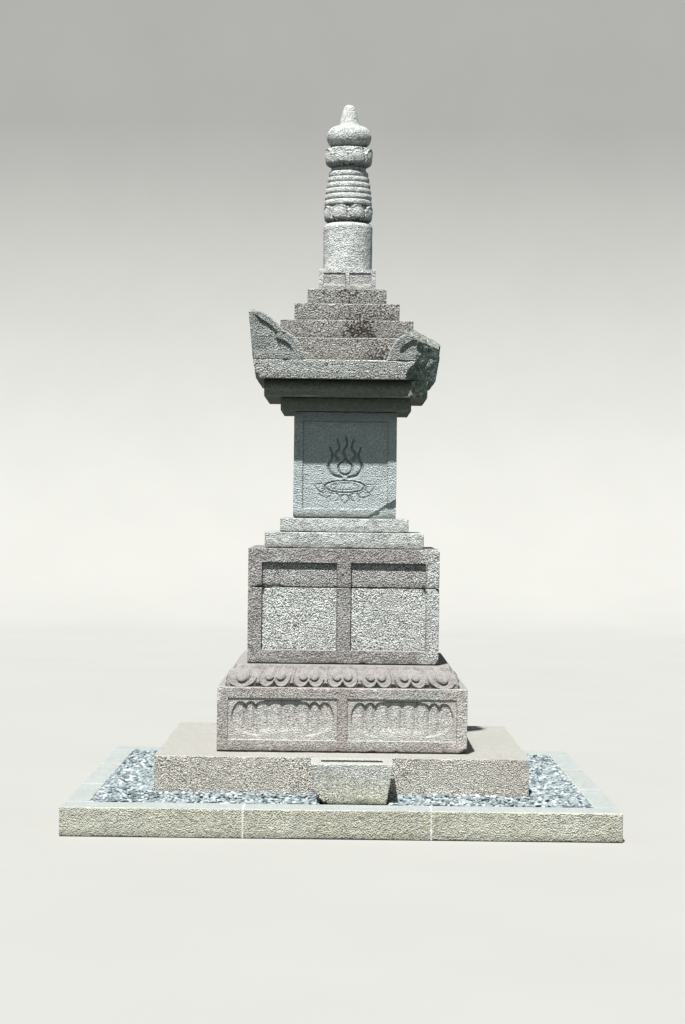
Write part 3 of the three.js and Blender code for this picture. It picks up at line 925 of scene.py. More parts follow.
@dataclass(frozen=True)
class Panels:
    """Sunk panels on each side of a square stone, in metres.

    Attributes:
        spans: Start and end of each panel along a side.
        low: Level of the panels' foot.
        high: Level of their head.
        depth: How deep they are sunk.
        slope: Height that the worn slope at their foot takes.
    """

    spans: Sequence[tuple[float, float]]
    low: float
    high: float
    depth: float
    slope: float = 0.0036

    def creases(self) -> list[float]:
        """Where the panels' upright walls stand, and a little inside of them."""
        return [edge for start, end in self.spans for edge in (start, start + 0.004, end - 0.004, end)]

    def foot_creases(self) -> list[float]:
        """Levels of the panels' sloping foot and just over it."""
        return [self.low, self.low + 0.002, self.low + 0.0045]

    def relief(self, along: Array, level: Array) -> Array:
        """Depth at places and levels.

        Args:
            along: Places along a side.
            level: Levels.

        Returns:
            The full depth inside a panel and none outside, with the change taken over one crease, or
            over the slope at the foot.
        """
        rows = np.clip((level - self.low + HALF_CREASE) / self.slope, 0.0, 1.0)
        rows = rows * ramp(level, self.high + HALF_CREASE, self.high - HALF_CREASE)
        inside = np.zeros(np.shape(along))
        for start, end in self.spans:
            column = ramp(along, start - HALF_CREASE, start + HALF_CREASE)
            inside = np.maximum(inside, column * ramp(along, end + HALF_CREASE, end - HALF_CREASE))
        return self.depth * rows * inside


def two_spans(half: float, side_stile: float, mid_stile: float) -> list[tuple[float, float]]:
    """Start and end of two panels beside each other, from the stone's half width and its stiles."""
    return [(side_stile - half, -mid_stile / 2), (mid_stile / 2, half - side_stile)]


class Kerb(SubAssembly):
    """Kerb stones around the gravel, with pale mortar in their joints."""

    joint_width = 0.011
    inset = 0.0008

    def build(self) -> None:
        """Makes the twelve stones and the mortar between them."""
        stones = sorted(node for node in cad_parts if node.startswith("kerb_"))
        for number, node in enumerate(stones):
            stone = node_block(
                node, f"{node}_stone", step=0.03, rise=0.03, seed_shift=3.1 * number,
                wear=Wear(edge=0.006, chip=0.007, face=0.0012, grit=0.0005),
            )
            self.place(stone.build(), "kerb_stone", node)
        self.build_mortar(stones)

    def build_mortar(self, stones: Sequence[str]) -> None:
        """Makes one joined piece with a small block of mortar in each joint.

        Args:
            stones: The kerb's nodes.
        """
        boxes = [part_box(node) for node in stones]
        grids = []
        for (low, high), (next_low, next_high) in product(boxes, boxes):
            for ahead, beside in ((0, 1), (1, 0)):
                aligned = abs(low[beside] - next_low[beside]) + abs(high[beside] - next_high[beside])
                if aligned + abs(high[ahead] - next_low[ahead]) < 1e-4:
                    middle = (high[ahead], (low[beside] + high[beside]) / 2)
                    half = (self.joint_width / 2, (high[beside] - low[beside]) / 2 - self.inset)
                    grids.append(self.mortar_block(middle, half, ahead, high.z - self.inset))
        points, quads, triangles, count = [], [], [], 0
        for grid in grids:
            sides, ends = wrapped_faces(*grid.shape[:2])
            points.append(np.array([*grid.reshape(-1, 3), grid[0].mean(axis=0), grid[-1].mean(axis=0)]))
            quads.append(sides + count)
            triangles.append(ends + count)
            count += len(points[-1])
        corners, fours, threes = (np.concatenate(part) for part in (points, quads, triangles))
        piece = make_mesh("kerb_mortar", corners, fours, threes, {"edge": np.zeros(count)})
        self.place(piece, "kerb_stone", material="mortar")

    def mortar_block(self, middle: Sequence[float], half: Sequence[float], ahead: int, top: float) -> Array:
        """The grid of one mortar joint, a hair inside the stones' outer faces.

        Args:
            middle: Middle of the joint, along the row and across it.
            half: Half sizes of the mortar in the same order.
            ahead: 0 where the row of stones runs along X, 1 along Y.
            top: Level of its top.

        Returns:
            The grid of a small cut stone.
        """
        turn = -1 if ahead else 1
        wear = Wear(edge=0.0015, chip=0.002, face=0.0006, grit=0.0004)
        block = CutStone("mortar", half[::turn], half[::turn], 0.0, top, middle[::turn], 0.02, 0.02, wear)
        return block.surface()[0]


@dataclass(frozen=True)
class PebbleSizes:
    """Half sizes of a common pebble, their spacing at the front and behind, and their heap, in metres."""

    half: tuple[float, float, float] = (0.0145, 0.0108, 0.0070)
    pitch: float = 0.0190
    far_pitch: float = 0.0225
    spread: float = 0.010
    heap: float = 0.014
    heap_width: float = 0.14
    margin: float = 0.015


class GravelBed(SubAssembly):
    """Loose flat pebbles strewn on the four strips of the bed, heaped a little against the plinth."""

    sizes = PebbleSizes()

    def template(self) -> tuple[Array, Array]:
        """A round pebble: an octahedron with each face cut in four, pushed out to the unit ball.

        Returns:
            Its points and its triangles.
        """
        tips = np.array([[1, 0, 0], [0, 1, 0], [-1, 0, 0], [0, -1, 0], [0, 0, 1], [0, 0, -1]], float)
        corners = [(0, 1, 4), (1, 2, 4), (2, 3, 4), (3, 0, 4), (1, 0, 5), (2, 1, 5), (3, 2, 5), (0, 3, 5)]
        points, triangles, seen = list(tips), [], {}

        def middle(first: int, second: int) -> int:
            """Number of the point halfway along an edge, made once."""
            key = (min(first, second), max(first, second))
            if key not in seen:
                seen[key] = len(points)
                points.append(points[first] + points[second])
            return seen[key]

        for a, b, c in corners:
            ab, bc, ca = middle(a, b), middle(b, c), middle(c, a)
            triangles += [(a, ab, ca), (ab, b, bc), (ca, bc, c), (ab, bc, ca)]
        ball = np.array(points)
        return ball / np.linalg.norm(ball, axis=1, keepdims=True), np.array(triangles)

    def centres(self, node: str, random: np.random.Generator) -> Array:
        """Places of the pebbles of one strip.

        Args:
            node: The strip's node.
            random: The seeded generator.

        Returns:
            Middles on a jittered grid, without those inside the basin's foot. They lie on the bed,
            raised near the plinth by the heap's height times a smooth fall over the heap's width.
        """
        low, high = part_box(node)
        size = np.array([high.x - low.x, high.y - low.y])
        pitch = self.sizes.pitch if low.y < 0.0 else self.sizes.far_pitch
        across, along = np.maximum(np.round(size / pitch), 1).astype(int)
        spots = np.stack(np.meshgrid(np.arange(across), np.arange(along)), axis=-1).reshape(-1, 2) + 0.5
        spots = spots + random.uniform(-0.48, 0.48, spots.shape)
        flat = np.array([low.x, low.y]) + spots / [across, along] * size
        margin = self.sizes.margin
        inner = np.array(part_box("plinth_slab")[1][:2]) + margin
        beyond = np.abs(flat) - inner
        most = beyond.max(axis=1, keepdims=True)
        flat = np.where((most < 0.0) & (beyond == most), np.sign(flat) * inner, flat)
        edge_x, edge_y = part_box("gravel_bed_front")[1].x - margin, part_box("gravel_bed_back")[1].y - margin
        flat = np.clip(flat, [-edge_x, -edge_y], [edge_x, edge_y])
        foot_low, foot_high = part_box("offering_basin")
        inset = 0.045
        inside = (flat[:, 0] > foot_low.x + inset) & (flat[:, 0] < foot_high.x - inset)
        inside &= (flat[:, 1] > foot_low.y + inset) & (flat[:, 1] < foot_high.y - inset)
        flat = flat[~inside]
        near = ramp((np.abs(flat) - inner).max(axis=1), self.sizes.heap_width, 0.0)
        level = high.z + self.sizes.heap * near + random.uniform(-0.001, self.sizes.spread, len(flat))
        return np.column_stack([flat, level])

    def turns(self, random: np.random.Generator, count: int) -> Array:
        """Rotations of pebbles that lie almost flat: any turn about Z after a small tilt about X."""
        yaw = random.uniform(0.0, 2.0 * math.pi, count)
        tilt = random.normal(0.0, 0.32, count)
        cy, sy, ct, st = np.cos(yaw), np.sin(yaw), np.cos(tilt), np.sin(tilt)
        zero = np.zeros(count)
        rows = [[cy, -sy * ct, sy * st], [sy, cy * ct, -cy * st], [zero, st, ct]]
        return np.stack([np.stack(row, axis=-1) for row in rows], axis=1)

    def build(self) -> None:
        """Strews pebbles on each strip and dresses the strip below them."""
        ball, triangles = self.template()
        random = np.random.default_rng(5)
        for side in ("front", "back", "left", "right"):
            node = f"gravel_bed_{side}"
            centres = self.centres(node, random)
            count = len(centres)
            sizes = np.array(self.sizes.half) * random.uniform(0.6, 1.25, (count, 1))
            sizes = sizes * random.uniform(0.8, 1.15, (count, 3))
            lumps = 1.0 + random.normal(0.0, 0.08, (count, len(ball), 1))
            lumpy = ball[None] * lumps * sizes[:, None, :]
            shaped = np.einsum("nij,nkj->nki", self.turns(random, count), lumpy)
            points = (shaped + centres[:, None, :]).reshape(-1, 3)
            tone = np.repeat(random.uniform(0.0, 1.0, count), len(ball))
            faces = (triangles[None] + (np.arange(count) * len(ball))[:, None, None]).reshape(-1, 3)
            piece = make_mesh(f"pebbles_{side}", points, triangles=faces, marks={"tone": tone})
            self.place(piece, "gravel")
            self.finishes.dress(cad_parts[node], "gravel")


class Plinth(SubAssembly):
    """The broad slab below the tower."""

    def build(self) -> None:
        """Makes the slab."""
        block = node_block(
            "plinth_slab", "plinth", step=0.026, rise=0.020, ledge=0.34,
            wear=Wear(edge=0.006, chip=0.014, chip_size=0.09, face=0.003, grit=0.001),
        )
        self.place(block.build(), "plinth_stone", "plinth_slab")


@dataclass(frozen=True)
class BasinShape:
    """Sizes of the offering basin in metres: its hollow, its batter, and how far it reaches back."""

    front_wall: float = 0.088
    mouth: float = 0.042
    end_wall: float = 0.05
    depth: float = 0.09
    batter: tuple[float, float] = (0.032, 0.052)
    behind: float = 0.044
    rim: tuple[float, ...] = (0.03, 0.04, 0.046)
    falls: tuple[tuple[float, float], ...] = (
        (0.0, 0.0), (0.003, 0.0015), (0.03, 0.006), (0.06, 0.010), (0.082, 0.018), (0.09, 0.028),
    )


class OfferingBasin(SubAssembly):
    """A battered block with a long hollow in its top."""

    shape = BasinShape()

    def build(self) -> None:
        """Makes the block as rings that go up its sides, over its rim and down into the hollow."""
        low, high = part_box("offering_basin")
        high.y += self.shape.behind
        centre, half = middle_and_half(low, high)

        def weathered(along: Array, level: Array) -> Array:
            """Stain that grows from the middle of the height down to the foot."""
            ragged = 0.03 * face_noise(along, level, 0.06, 3)
            return ramp(level + ragged, high.z - 0.05, low.z + 0.05)

        block = CutStone(
            "basin", tuple(np.subtract(half, self.shape.batter)), half, low.z, high.z, centre, 0.008, 0.008,
            Wear(edge=0.006, chip=0.014, face=0.002, grit=0.0012), ledge=0.0, stain=weathered, undercut=0.008,
            knocks=(((low.x + 0.080, low.y + 0.055, low.z), (-0.70, -0.30, -0.64)),),
        )
        grid, marks = block.surface()
        levels = grid.shape[0]
        half = np.array(half)
        hollow = np.array([half[0] - self.shape.end_wall, self.shape.mouth])
        middle = (centre[0], low.y + self.shape.front_wall + self.shape.mouth)
        _, units, _ = block.columns()
        keep = levels - 1
        rows = [grid[row] for row in range(keep)]
        for inset in self.shape.rim:
            rows.append(self.ring(units, half - inset, high.z, centre))
        within = len(rows) + 1
        for fall, draw in self.shape.falls:
            rows.append(self.ring(units, hollow - draw, high.z - fall, middle))
        for share in (0.7, 0.4, 0.15):
            rows.append(self.ring(units, (hollow - draw) * share, high.z - self.shape.depth, middle))
        whole = np.stack(rows)
        rough = NOISE.layers(whole[keep:], 0.03, 3)
        whole[keep:, :, 2] -= np.clip(0.0012 + 0.0012 * rough, 0.0, 0.004)
        bare = np.zeros((len(rows) - keep, grid.shape[1]))
        marks = {mark: np.concatenate([values[:keep], bare]) for mark, values in marks.items()}
        marks["sunk"] = ramp(whole[..., 2], low.z + 0.06, high.z - 0.01)
        corner = np.hypot(whole[..., 0] - low.x - 0.045, whole[..., 2] - low.z)
        marks["moss"] = 0.9 * ramp(corner, 0.075, 0.02)
        marks["moss"][within:] = 4.0
        marks["crevice"][within:] = 1.0
        piece = make_wrapped("offering_basin_stone", whole, marks)
        self.place(piece, "basin_stone", "offering_basin")

    def ring(self, units: Array, half: Array, level: float, centre: tuple[float, float]) -> Array:
        """A flat ring of points at a level.

        Args:
            units: Unit places around the stone.
            half: Half sizes of the ring.
            level: Its level.
            centre: Its middle.

        Returns:
            One point a row.
        """
        flat = units * half + np.array(centre)
        return np.column_stack([flat, np.full(len(flat), level)])


class LowerBox(SubAssembly):
    """The panelled box with a cusped outline sunk into each panel."""

    side_stile = 0.056
    mid_stile = 0.052
    bottom_rail = 0.058
    top_rail = 0.055
    depth = 0.0062
    sinking = 0.0084
    middle_sinking = 0.0092
    cusped = (
        (0.0, 0.2005), (0.088, 0.2005), (0.094, 0.195), (0.108, 0.194), (0.120, 0.190), (0.129, 0.184),
        (0.136, 0.173), (0.142, 0.184), (0.150, 0.191), (0.161, 0.194), (0.172, 0.190), (0.180, 0.183),
        (0.1865, 0.171), (0.192, 0.182), (0.201, 0.190), (0.2115, 0.193), (0.223, 0.190), (0.2335, 0.182),
        (0.243, 0.169), (0.250, 0.152), (0.2555, 0.132), (0.2575, 0.109), (0.255, 0.090), (0.246, 0.072),
        (0.230, 0.056), (0.208, 0.044), (0.180, 0.033), (0.148, 0.025), (0.112, 0.020), (0.0, 0.020),
    )
    flutes = (0.0, 0.068, 0.138, 0.188)

    def outline(self) -> Array:
        """The whole cusped outline about the panel's middle and foot, from its right half."""
        right = np.array(self.cusped)
        return np.vstack([right, right[-2:0:-1] * np.array([-1.0, 1.0])])

    def sunk_field(self, across: Array, up: Array) -> Array:
        """Depth of the cusped field in a panel.

        Args:
            across: Distance from the panel's middle.
            up: Height over the panel's foot.

        Returns:
            The sinking inside the outline, with a steep wall that fades out at the middle of its
            foot, and shallow upright flutes below the cusps.
        """
        inside = signed_distance(across, up, self.outline())
        wall = ramp(inside, -0.0012, 0.0018)
        wall = np.where(up < 0.10, np.clip((inside + 0.001) / 0.0042, 0.0, 1.0), wall)
        open_foot = ramp(np.abs(across), 0.132, 0.100) * ramp(up, 0.084, 0.039)
        faded = 1.0 - open_foot * (1.0 - ramp(up, 0.018, 0.079))
        flute = sum(np.exp(-(((np.abs(across) - place) / 0.0110) ** 2)) for place in self.flutes)
        deeper = ramp(np.abs(across), 0.105, 0.085) * ramp(up, 0.12, 0.18)
        sinking = self.sinking * (0.7 + 0.3 * ramp(up, 0.07, 0.14))
        sinking = sinking + (self.middle_sinking - self.sinking) * deeper
        return wall * faded * (sinking + 0.0062 * flute * ramp(up, 0.03, 0.08))

    def build(self) -> None:
        """Makes the box."""
        low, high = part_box("lower_box")
        spans = two_spans(high.x, self.side_stile, self.mid_stile)
        panels = Panels(spans, low.z + self.bottom_rail, high.z - self.top_rail, self.depth)
        reach = max(across for across, _ in self.cusped) + 0.005

        def stained(along: Array, level: Array) -> Array:
            """Stain: the frame a little, its head and foot more, the right end hardly."""
            frame_part = 0.50 * (panels.relief(along, level) < 0.001)
            foot = 0.20 * ramp(level, panels.low, panels.low - 0.04)
            middle = 0.25 * np.exp(-((along / 0.05) ** 2))
            return (frame_part + foot + middle) * ramp(along, high.x, high.x - 0.12)

        def carved(along: Array, level: Array) -> Array:
            """The panels, with the cusped field sunk further in each."""
            depth = panels.relief(along, level)
            near = (level > panels.low) & (level < panels.high)
            for middle in (sum(span) / 2 for span in spans):
                spot = near & (np.abs(along - middle) < reach)
                depth[spot] += self.sunk_field(along[spot] - middle, level[spot] - panels.low)
            return depth

        block = node_block(
            "lower_box", "box", step=0.0042, far=2.4, rise=0.0052, relief=carved, creases=panels.creases(),
            level_creases=(*panels.foot_creases(), panels.high), ledge=0.03,
            wear=Wear(edge=0.005, chip=0.016), stain=stained, undercut=0.005,
            level_fine=(panels.low + 0.160, panels.high - 0.002, 0.0034),
            knocks=(((0.600, -0.630, 0.350), (0.5, -0.6, -1.0)), ((-0.622, -0.622, 0.62), (-1.0, -1.0, 0.5))),
        )
        self.place(block.build(), "base_stone", "lower_box", material="box_stone")


@dataclass(frozen=True)
class PetalShape:
    """Sizes of the hanging petals in metres; levels are shares of the band's height from its top.

    Attributes:
        pitch: Distance between the middles of two petals.
        half: Half width of a petal of two lobes.
        lobe_middle: Distance of a lobe's middle from the petal's.
        lobe_half: Half width of a lobe, a little more than that distance, so that two lobes meet.
        bulb_middle: Distance of a bulb's middle from the petal's.
        bulb: Radius of a bulb.
        bulb_level: Level of a bulb's middle.
        cusp_level: Level where a lobe starts to narrow.
        lobe_foot: Level of a lobe's lowest point.
        corner_middle: Distance of a corner lobe from the middle of the side.
        corner_half: Half width of a corner lobe.
        corner_bulb: Radius of its bulb.
        field: Depth of a petal's face behind its rim.
        gap: Depth of the dark gaps between the petals' feet.
    """

    pitch: float = 0.1750
    half: float = 0.0775
    lobe_middle: float = 0.0385
    lobe_half: float = 0.0405
    bulb_middle: float = 0.0285
    bulb: float = 0.0230
    bulb_level: float = 0.50
    cusp_level: float = 0.60
    lobe_foot: float = 1.01
    corner_middle: float = 0.5190
    corner_half: float = 0.0740
    corner_bulb: float = 0.0310
    field: float = 0.0085
    gap: float = 0.018


class LotusBand(SubAssembly):
    """A band of hanging two-lobed petals around the foot of the base."""

    shape = PetalShape()
    petals = 5
    top_half = 0.545
    foot_half = 0.598
    height = 0.108
    rows = 40
    step = 0.0040

    def lobe(self, beside: Array, down: Array, half: float, bulb: float, bulb_beside: Array) -> Array:
        """Depth of a lobe with its bulb.

        Args:
            beside: Distance from the lobe's middle.
            down: Level, from 0 at the band's top to 1 at its foot.
            half: Half width of the lobe.
            bulb: Radius of its bulb.
            bulb_beside: Distance from the bulb's middle.

        Returns:
            Depth behind the outermost shape. The lobe's edge is upright, then a half ellipse below
            the cusp's level; a rim lies along it, the bulb is an ellipsoid with a longer upper half,
            and a crescent is scooped out between bulb and rim. Outside the edge lies the gap.
        """
        shape = self.shape
        below = np.maximum(down - shape.cusp_level, 0.0) / (shape.lobe_foot - shape.cusp_level)
        inside = (1.0 - np.hypot(beside / half, below)) * half
        lowness = ramp(down, 0.30, 0.70)
        rim = ramp(inside, 0.0110, 0.0070) * (0.15 + 0.85 * lowness)
        drop = (down - shape.bulb_level) * self.height
        tall = np.where(drop > 0.0, 0.95, 1.9) * bulb
        ball = np.clip(1.0 - (bulb_beside / bulb) ** 2 - (drop / tall) ** 2, 0.0, 1.0) ** 0.36
        around = np.hypot(bulb_beside, drop) / bulb
        scoop = ramp(around, 0.90, 1.02) * ramp(around, 1.5, 1.15) * ramp(drop, 0.0, 0.010)
        depth = shape.field - 0.0060 * rim - 0.0095 * ball + 0.0045 * scoop * ramp(inside, 0.006, 0.012)
        outside = ramp(inside, 0.0012, -0.0012) * ramp(down, 0.5, shape.cusp_level)
        return np.maximum(depth, 0.0) * (1.0 - outside) + shape.gap * outside

    def relief(self, along: Array, down: Array) -> Array:
        """Depth of the whole row of petals.

        Args:
            along: Place along a side at the band's foot.
            down: From 0 at the band's top to 1 at its foot.

        Returns:
            Depth behind the outermost shape: two-lobed petals at an even pitch, one lobe at each
            side of a corner, and narrow leaves between them that spread into a point at the foot.
        """
        shape = self.shape
        nearest = np.clip(np.round(along / shape.pitch), -(self.petals // 2), self.petals // 2)
        local = np.abs(along - nearest * shape.pitch)
        two = self.lobe(np.abs(local - shape.lobe_middle), down, shape.lobe_half, shape.bulb,
                        np.abs(local - shape.bulb_middle))
        ridge = np.exp(-((local / 0.004) ** 2)) * ramp(down, 0.35, 0.6) * ramp(down, 0.80, 0.70)
        two = two - 0.0025 * ridge
        corner = np.abs(np.abs(along) - shape.corner_middle)
        one = self.lobe(corner, down - 0.02, shape.corner_half, shape.corner_bulb, corner)
        in_two = ramp(local, shape.half + 0.0008, shape.half - 0.0008)
        in_corner = ramp(corner, shape.corner_half + 0.0008, shape.corner_half - 0.0008)
        last = (self.petals // 2) * shape.pitch + shape.half
        first = shape.corner_middle - shape.corner_half
        between = (np.floor(along / shape.pitch) + 0.5) * shape.pitch
        outer = np.sign(along) * (last + first) / 2
        leaf_middle = np.where(np.abs(along) < last - shape.half, between, outer)
        leaf = np.abs(along - leaf_middle)
        spread = 0.0065 + 0.017 * ramp(down, 0.70, 1.0)
        on_leaf = ramp(leaf, spread + 0.001, spread - 0.001)
        hollow = ramp(leaf, spread - 0.005, spread - 0.008) * ramp(down, 0.82, 0.88)
        leaf_depth = 0.006 + 0.018 * hollow
        groove = 0.011 + (shape.gap - 0.011) * ramp(down, 0.6, 0.8)
        depth = groove * np.ones(np.shape(along))
        depth = np.where(in_two > 0.0, two * in_two + groove * (1.0 - in_two), depth)
        depth = np.where(in_corner > 0.0, one * in_corner + groove * (1.0 - in_corner), depth)
        depth = np.minimum(depth, leaf_depth * on_leaf + groove * (1.0 - on_leaf))
        return depth * ramp(down, 0.0, 0.22)

    def build(self) -> None:
        """Makes the band: half width at share v down is top + (foot - top) sin(pi v^0.95 / 2)."""
        low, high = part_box("lotus_band")
        steps = [self.step * (1.0 if axis is Axis.FRONT else 1.4) for axis in Axis]
        sides = [graded(-self.foot_half, self.foot_half, step)[:-1] for step in steps]
        outs = np.concatenate([np.tile(axis.value, (len(side), 1)) for axis, side in zip(Axis, sides)])
        runs = np.column_stack([-outs[:, 1], outs[:, 0]])
        along = np.concatenate(sides)
        under, over = [0.30, 0.08, 0.03], [0.004, 0.012, 0.03, 0.06, 0.10, 0.30]
        down = [np.ones(len(under)), np.linspace(1.0, 0.0, self.rows), np.zeros(len(over))]
        down = np.concatenate(down)[:, None]
        inset = np.concatenate([under, np.zeros(self.rows), over])[:, None]
        level = high.z - down * (high.z - low.z)
        half = self.top_half + (self.foot_half - self.top_half) * np.sin(QUARTER * down**0.95)
        place, downs = np.broadcast_arrays(along[None, :], down)
        depth = self.relief(place, downs)
        whole = np.stack(np.broadcast_arrays(
            outs[:, 0] * half + runs[:, 0] * along, outs[:, 1] * half + runs[:, 1] * along, level), axis=-1)
        wear = 0.0012 * (0.6 + 0.6 * NOISE.layers(whole, 0.04, 3))
        corner = ramp(np.abs(along), self.foot_half - 0.050, self.foot_half)
        broken = corner * ramp(NOISE.layers(whole + 3.0, 0.08, 3), -0.1, 0.5)
        depth = depth * (1.0 - corner) + 0.008 * corner
        out = half - np.maximum(inset, depth) - np.maximum(wear, 0.0) - 0.012 * broken
        side = outs + runs * along[:, None] / self.foot_half
        grid = np.stack([side[:, 0] * out, side[:, 1] * out, np.broadcast_to(level, out.shape)], axis=-1)
        # Mark edge: pale raised rims, worn stone with a painted highlight; mark crevice: painted shade deep
        # in the gaps between the petals.
        rim = ramp(depth, 0.006, 0.001) * ramp(downs, 0.4, 0.8)
        crevice = 0.7 * ramp(depth, 0.0095, 0.0125) * ramp(downs, 0.15, 0.4)
        piece = make_wrapped("lotus_petals", grid, {"edge": 0.5 * rim, "crevice": crevice})
        self.place(piece, "base_stone", "lotus_band", material="petal_stone")


class PanelledBase(SubAssembly):
    """The base of two stones that share two tall sunk panels on each side."""

    side_stile = 0.072
    mid_stile = 0.073
    rail = 0.070
    head = 0.073
    depth = 0.018
    joint = 0.0045

    def build(self) -> None:
        """Makes both stones, with a small worn groove where they meet."""
        lower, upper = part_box("base_lower_stone"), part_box("base_upper_stone")
        seam = upper[0].z
        spans = two_spans(lower[1].x, self.side_stile, self.mid_stile)
        panels = Panels(spans, lower[0].z + self.rail, upper[1].z - self.head, self.depth)

        def jointed(along: Array, level: Array) -> Array:
            """The panels, with their field drawn in at the joint."""
            sunk = panels.relief(along, level)
            ragged = 1.0 + 0.5 * face_noise(along, 0.0 * level, 0.06, 2)
            return sunk + 0.005 * ragged * ramp(np.abs(level - seam), self.joint, 0.0) * (sunk > 0.001)

        def weathered(along: Array, level: Array) -> Array:
            """Stains: the frame but for its right stile, and the upper stone's panels."""
            framed = panels.relief(along, level) < 0.001
            sound = ramp(along, half - 0.12, half - 0.07)
            upper_panels = 0.65 * ramp(level, seam - 0.004, seam + 0.004) * ~framed
            drips = 0.5 * ramp(level, panels.low + 0.03, panels.low) * ~framed
            return np.maximum(framed * (0.95 - 0.92 * sound), np.maximum(upper_panels, drips))

        half, seam_low = lower[1].x, seam - 0.012
        knocks = (
            ((half - 0.012, -half + 0.012, seam_low), (1.0, -0.8, 0.9)),
            ((half - 0.010, -half + 0.010, lower[0].z + 0.018), (1.0, -0.8, -1.0)),
        )
        for node, creases, shift, broken, undercut in (
            ("base_lower_stone", panels.foot_creases(), 0.0, knocks, 0.006),
            ("base_upper_stone", (panels.high,), 5.0, (), 0.0),
        ):
            block = node_block(
                node, node.removesuffix("_stone"), step=0.013, rise=0.013, relief=jointed,
                creases=panels.creases(), level_creases=creases, ledge=0.06, seed_shift=shift,
                knocks=broken, stain=weathered, undercut=undercut,
                wear=Wear(edge=0.005, chip=0.020, chip_size=0.08, face=0.002, grit=0.0011),
            )
            self.place(block.build(), "base_stone", node)


class PlainTiers(SubAssembly):
    """Plain square stones: the steps below the body, under the eave and on the roof."""

    def build(self) -> None:
        """Makes the steps below the body and the lower step under the eave."""
        self.tier("step_lower", "base_stone", "step_stone", 0.0, foot=0.35)
        self.tier("step_upper", "base_stone", "step_stone", 11.0, foot=0.0)
        self.tier("eave_step_lower", "roof_stone", "soffit_stone", 37.0, head=0.55)

    def tier(
        self, node: str, slot: str, material: str, shift: float, foot: float = 0.0, head: float = 0.0,
    ) -> Piece:
        """Makes one plain tier.

        Args:
            node: The node that it stands for.
            slot: Its slot.
            material: Name of its material.
            shift: Moves its wear.
            foot: How much darker it gets along its foot.
            head: Strength of the painted shade below its top, under an overhanging stone.

        Returns:
            The piece.
        """
        low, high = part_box(node)

        def weathered(along: Array, level: Array) -> Array:
            """Darkening that fades up the lower third, and painted shade that fades down from the top."""
            ragged = 0.012 * face_noise(along, level, 0.08, 2, shift)
            below = foot * ramp(level + ragged, low.z + 0.034, low.z + 0.010)
            return np.maximum(below, head * ramp(level + 0.3 * ragged, high.z - 0.065, high.z - 0.004))

        block = node_block(node, f"{node}_stone", ledge=0.09, seed_shift=shift,
                           wear=Wear(edge=0.004, chip=0.013), stain=weathered)
        piece = block.build()
        self.place(piece, slot, node, material=material)
        return piece


@dataclass(frozen=True)
class Stroke:
    """A carved line: its path, its half width at the start and at the end, and its depth."""

    path: Array
    start: float
    end: float
    depth: float

    def cut(self, across: Array, up: Array) -> Array:
        """Depth at places of the face: full on the line, none beyond its tapering half width."""
        gap, share = nearest_on_path(across, up, self.path)
        wide = self.start + (self.end - self.start) * share
        return self.depth * ramp(gap / wide, 1.0, 0.1)

    def mirrored(self) -> "Stroke":
        """The same line on the other side of the axis."""
        return replace(self, path=self.path * np.array([-1.0, 1.0]))


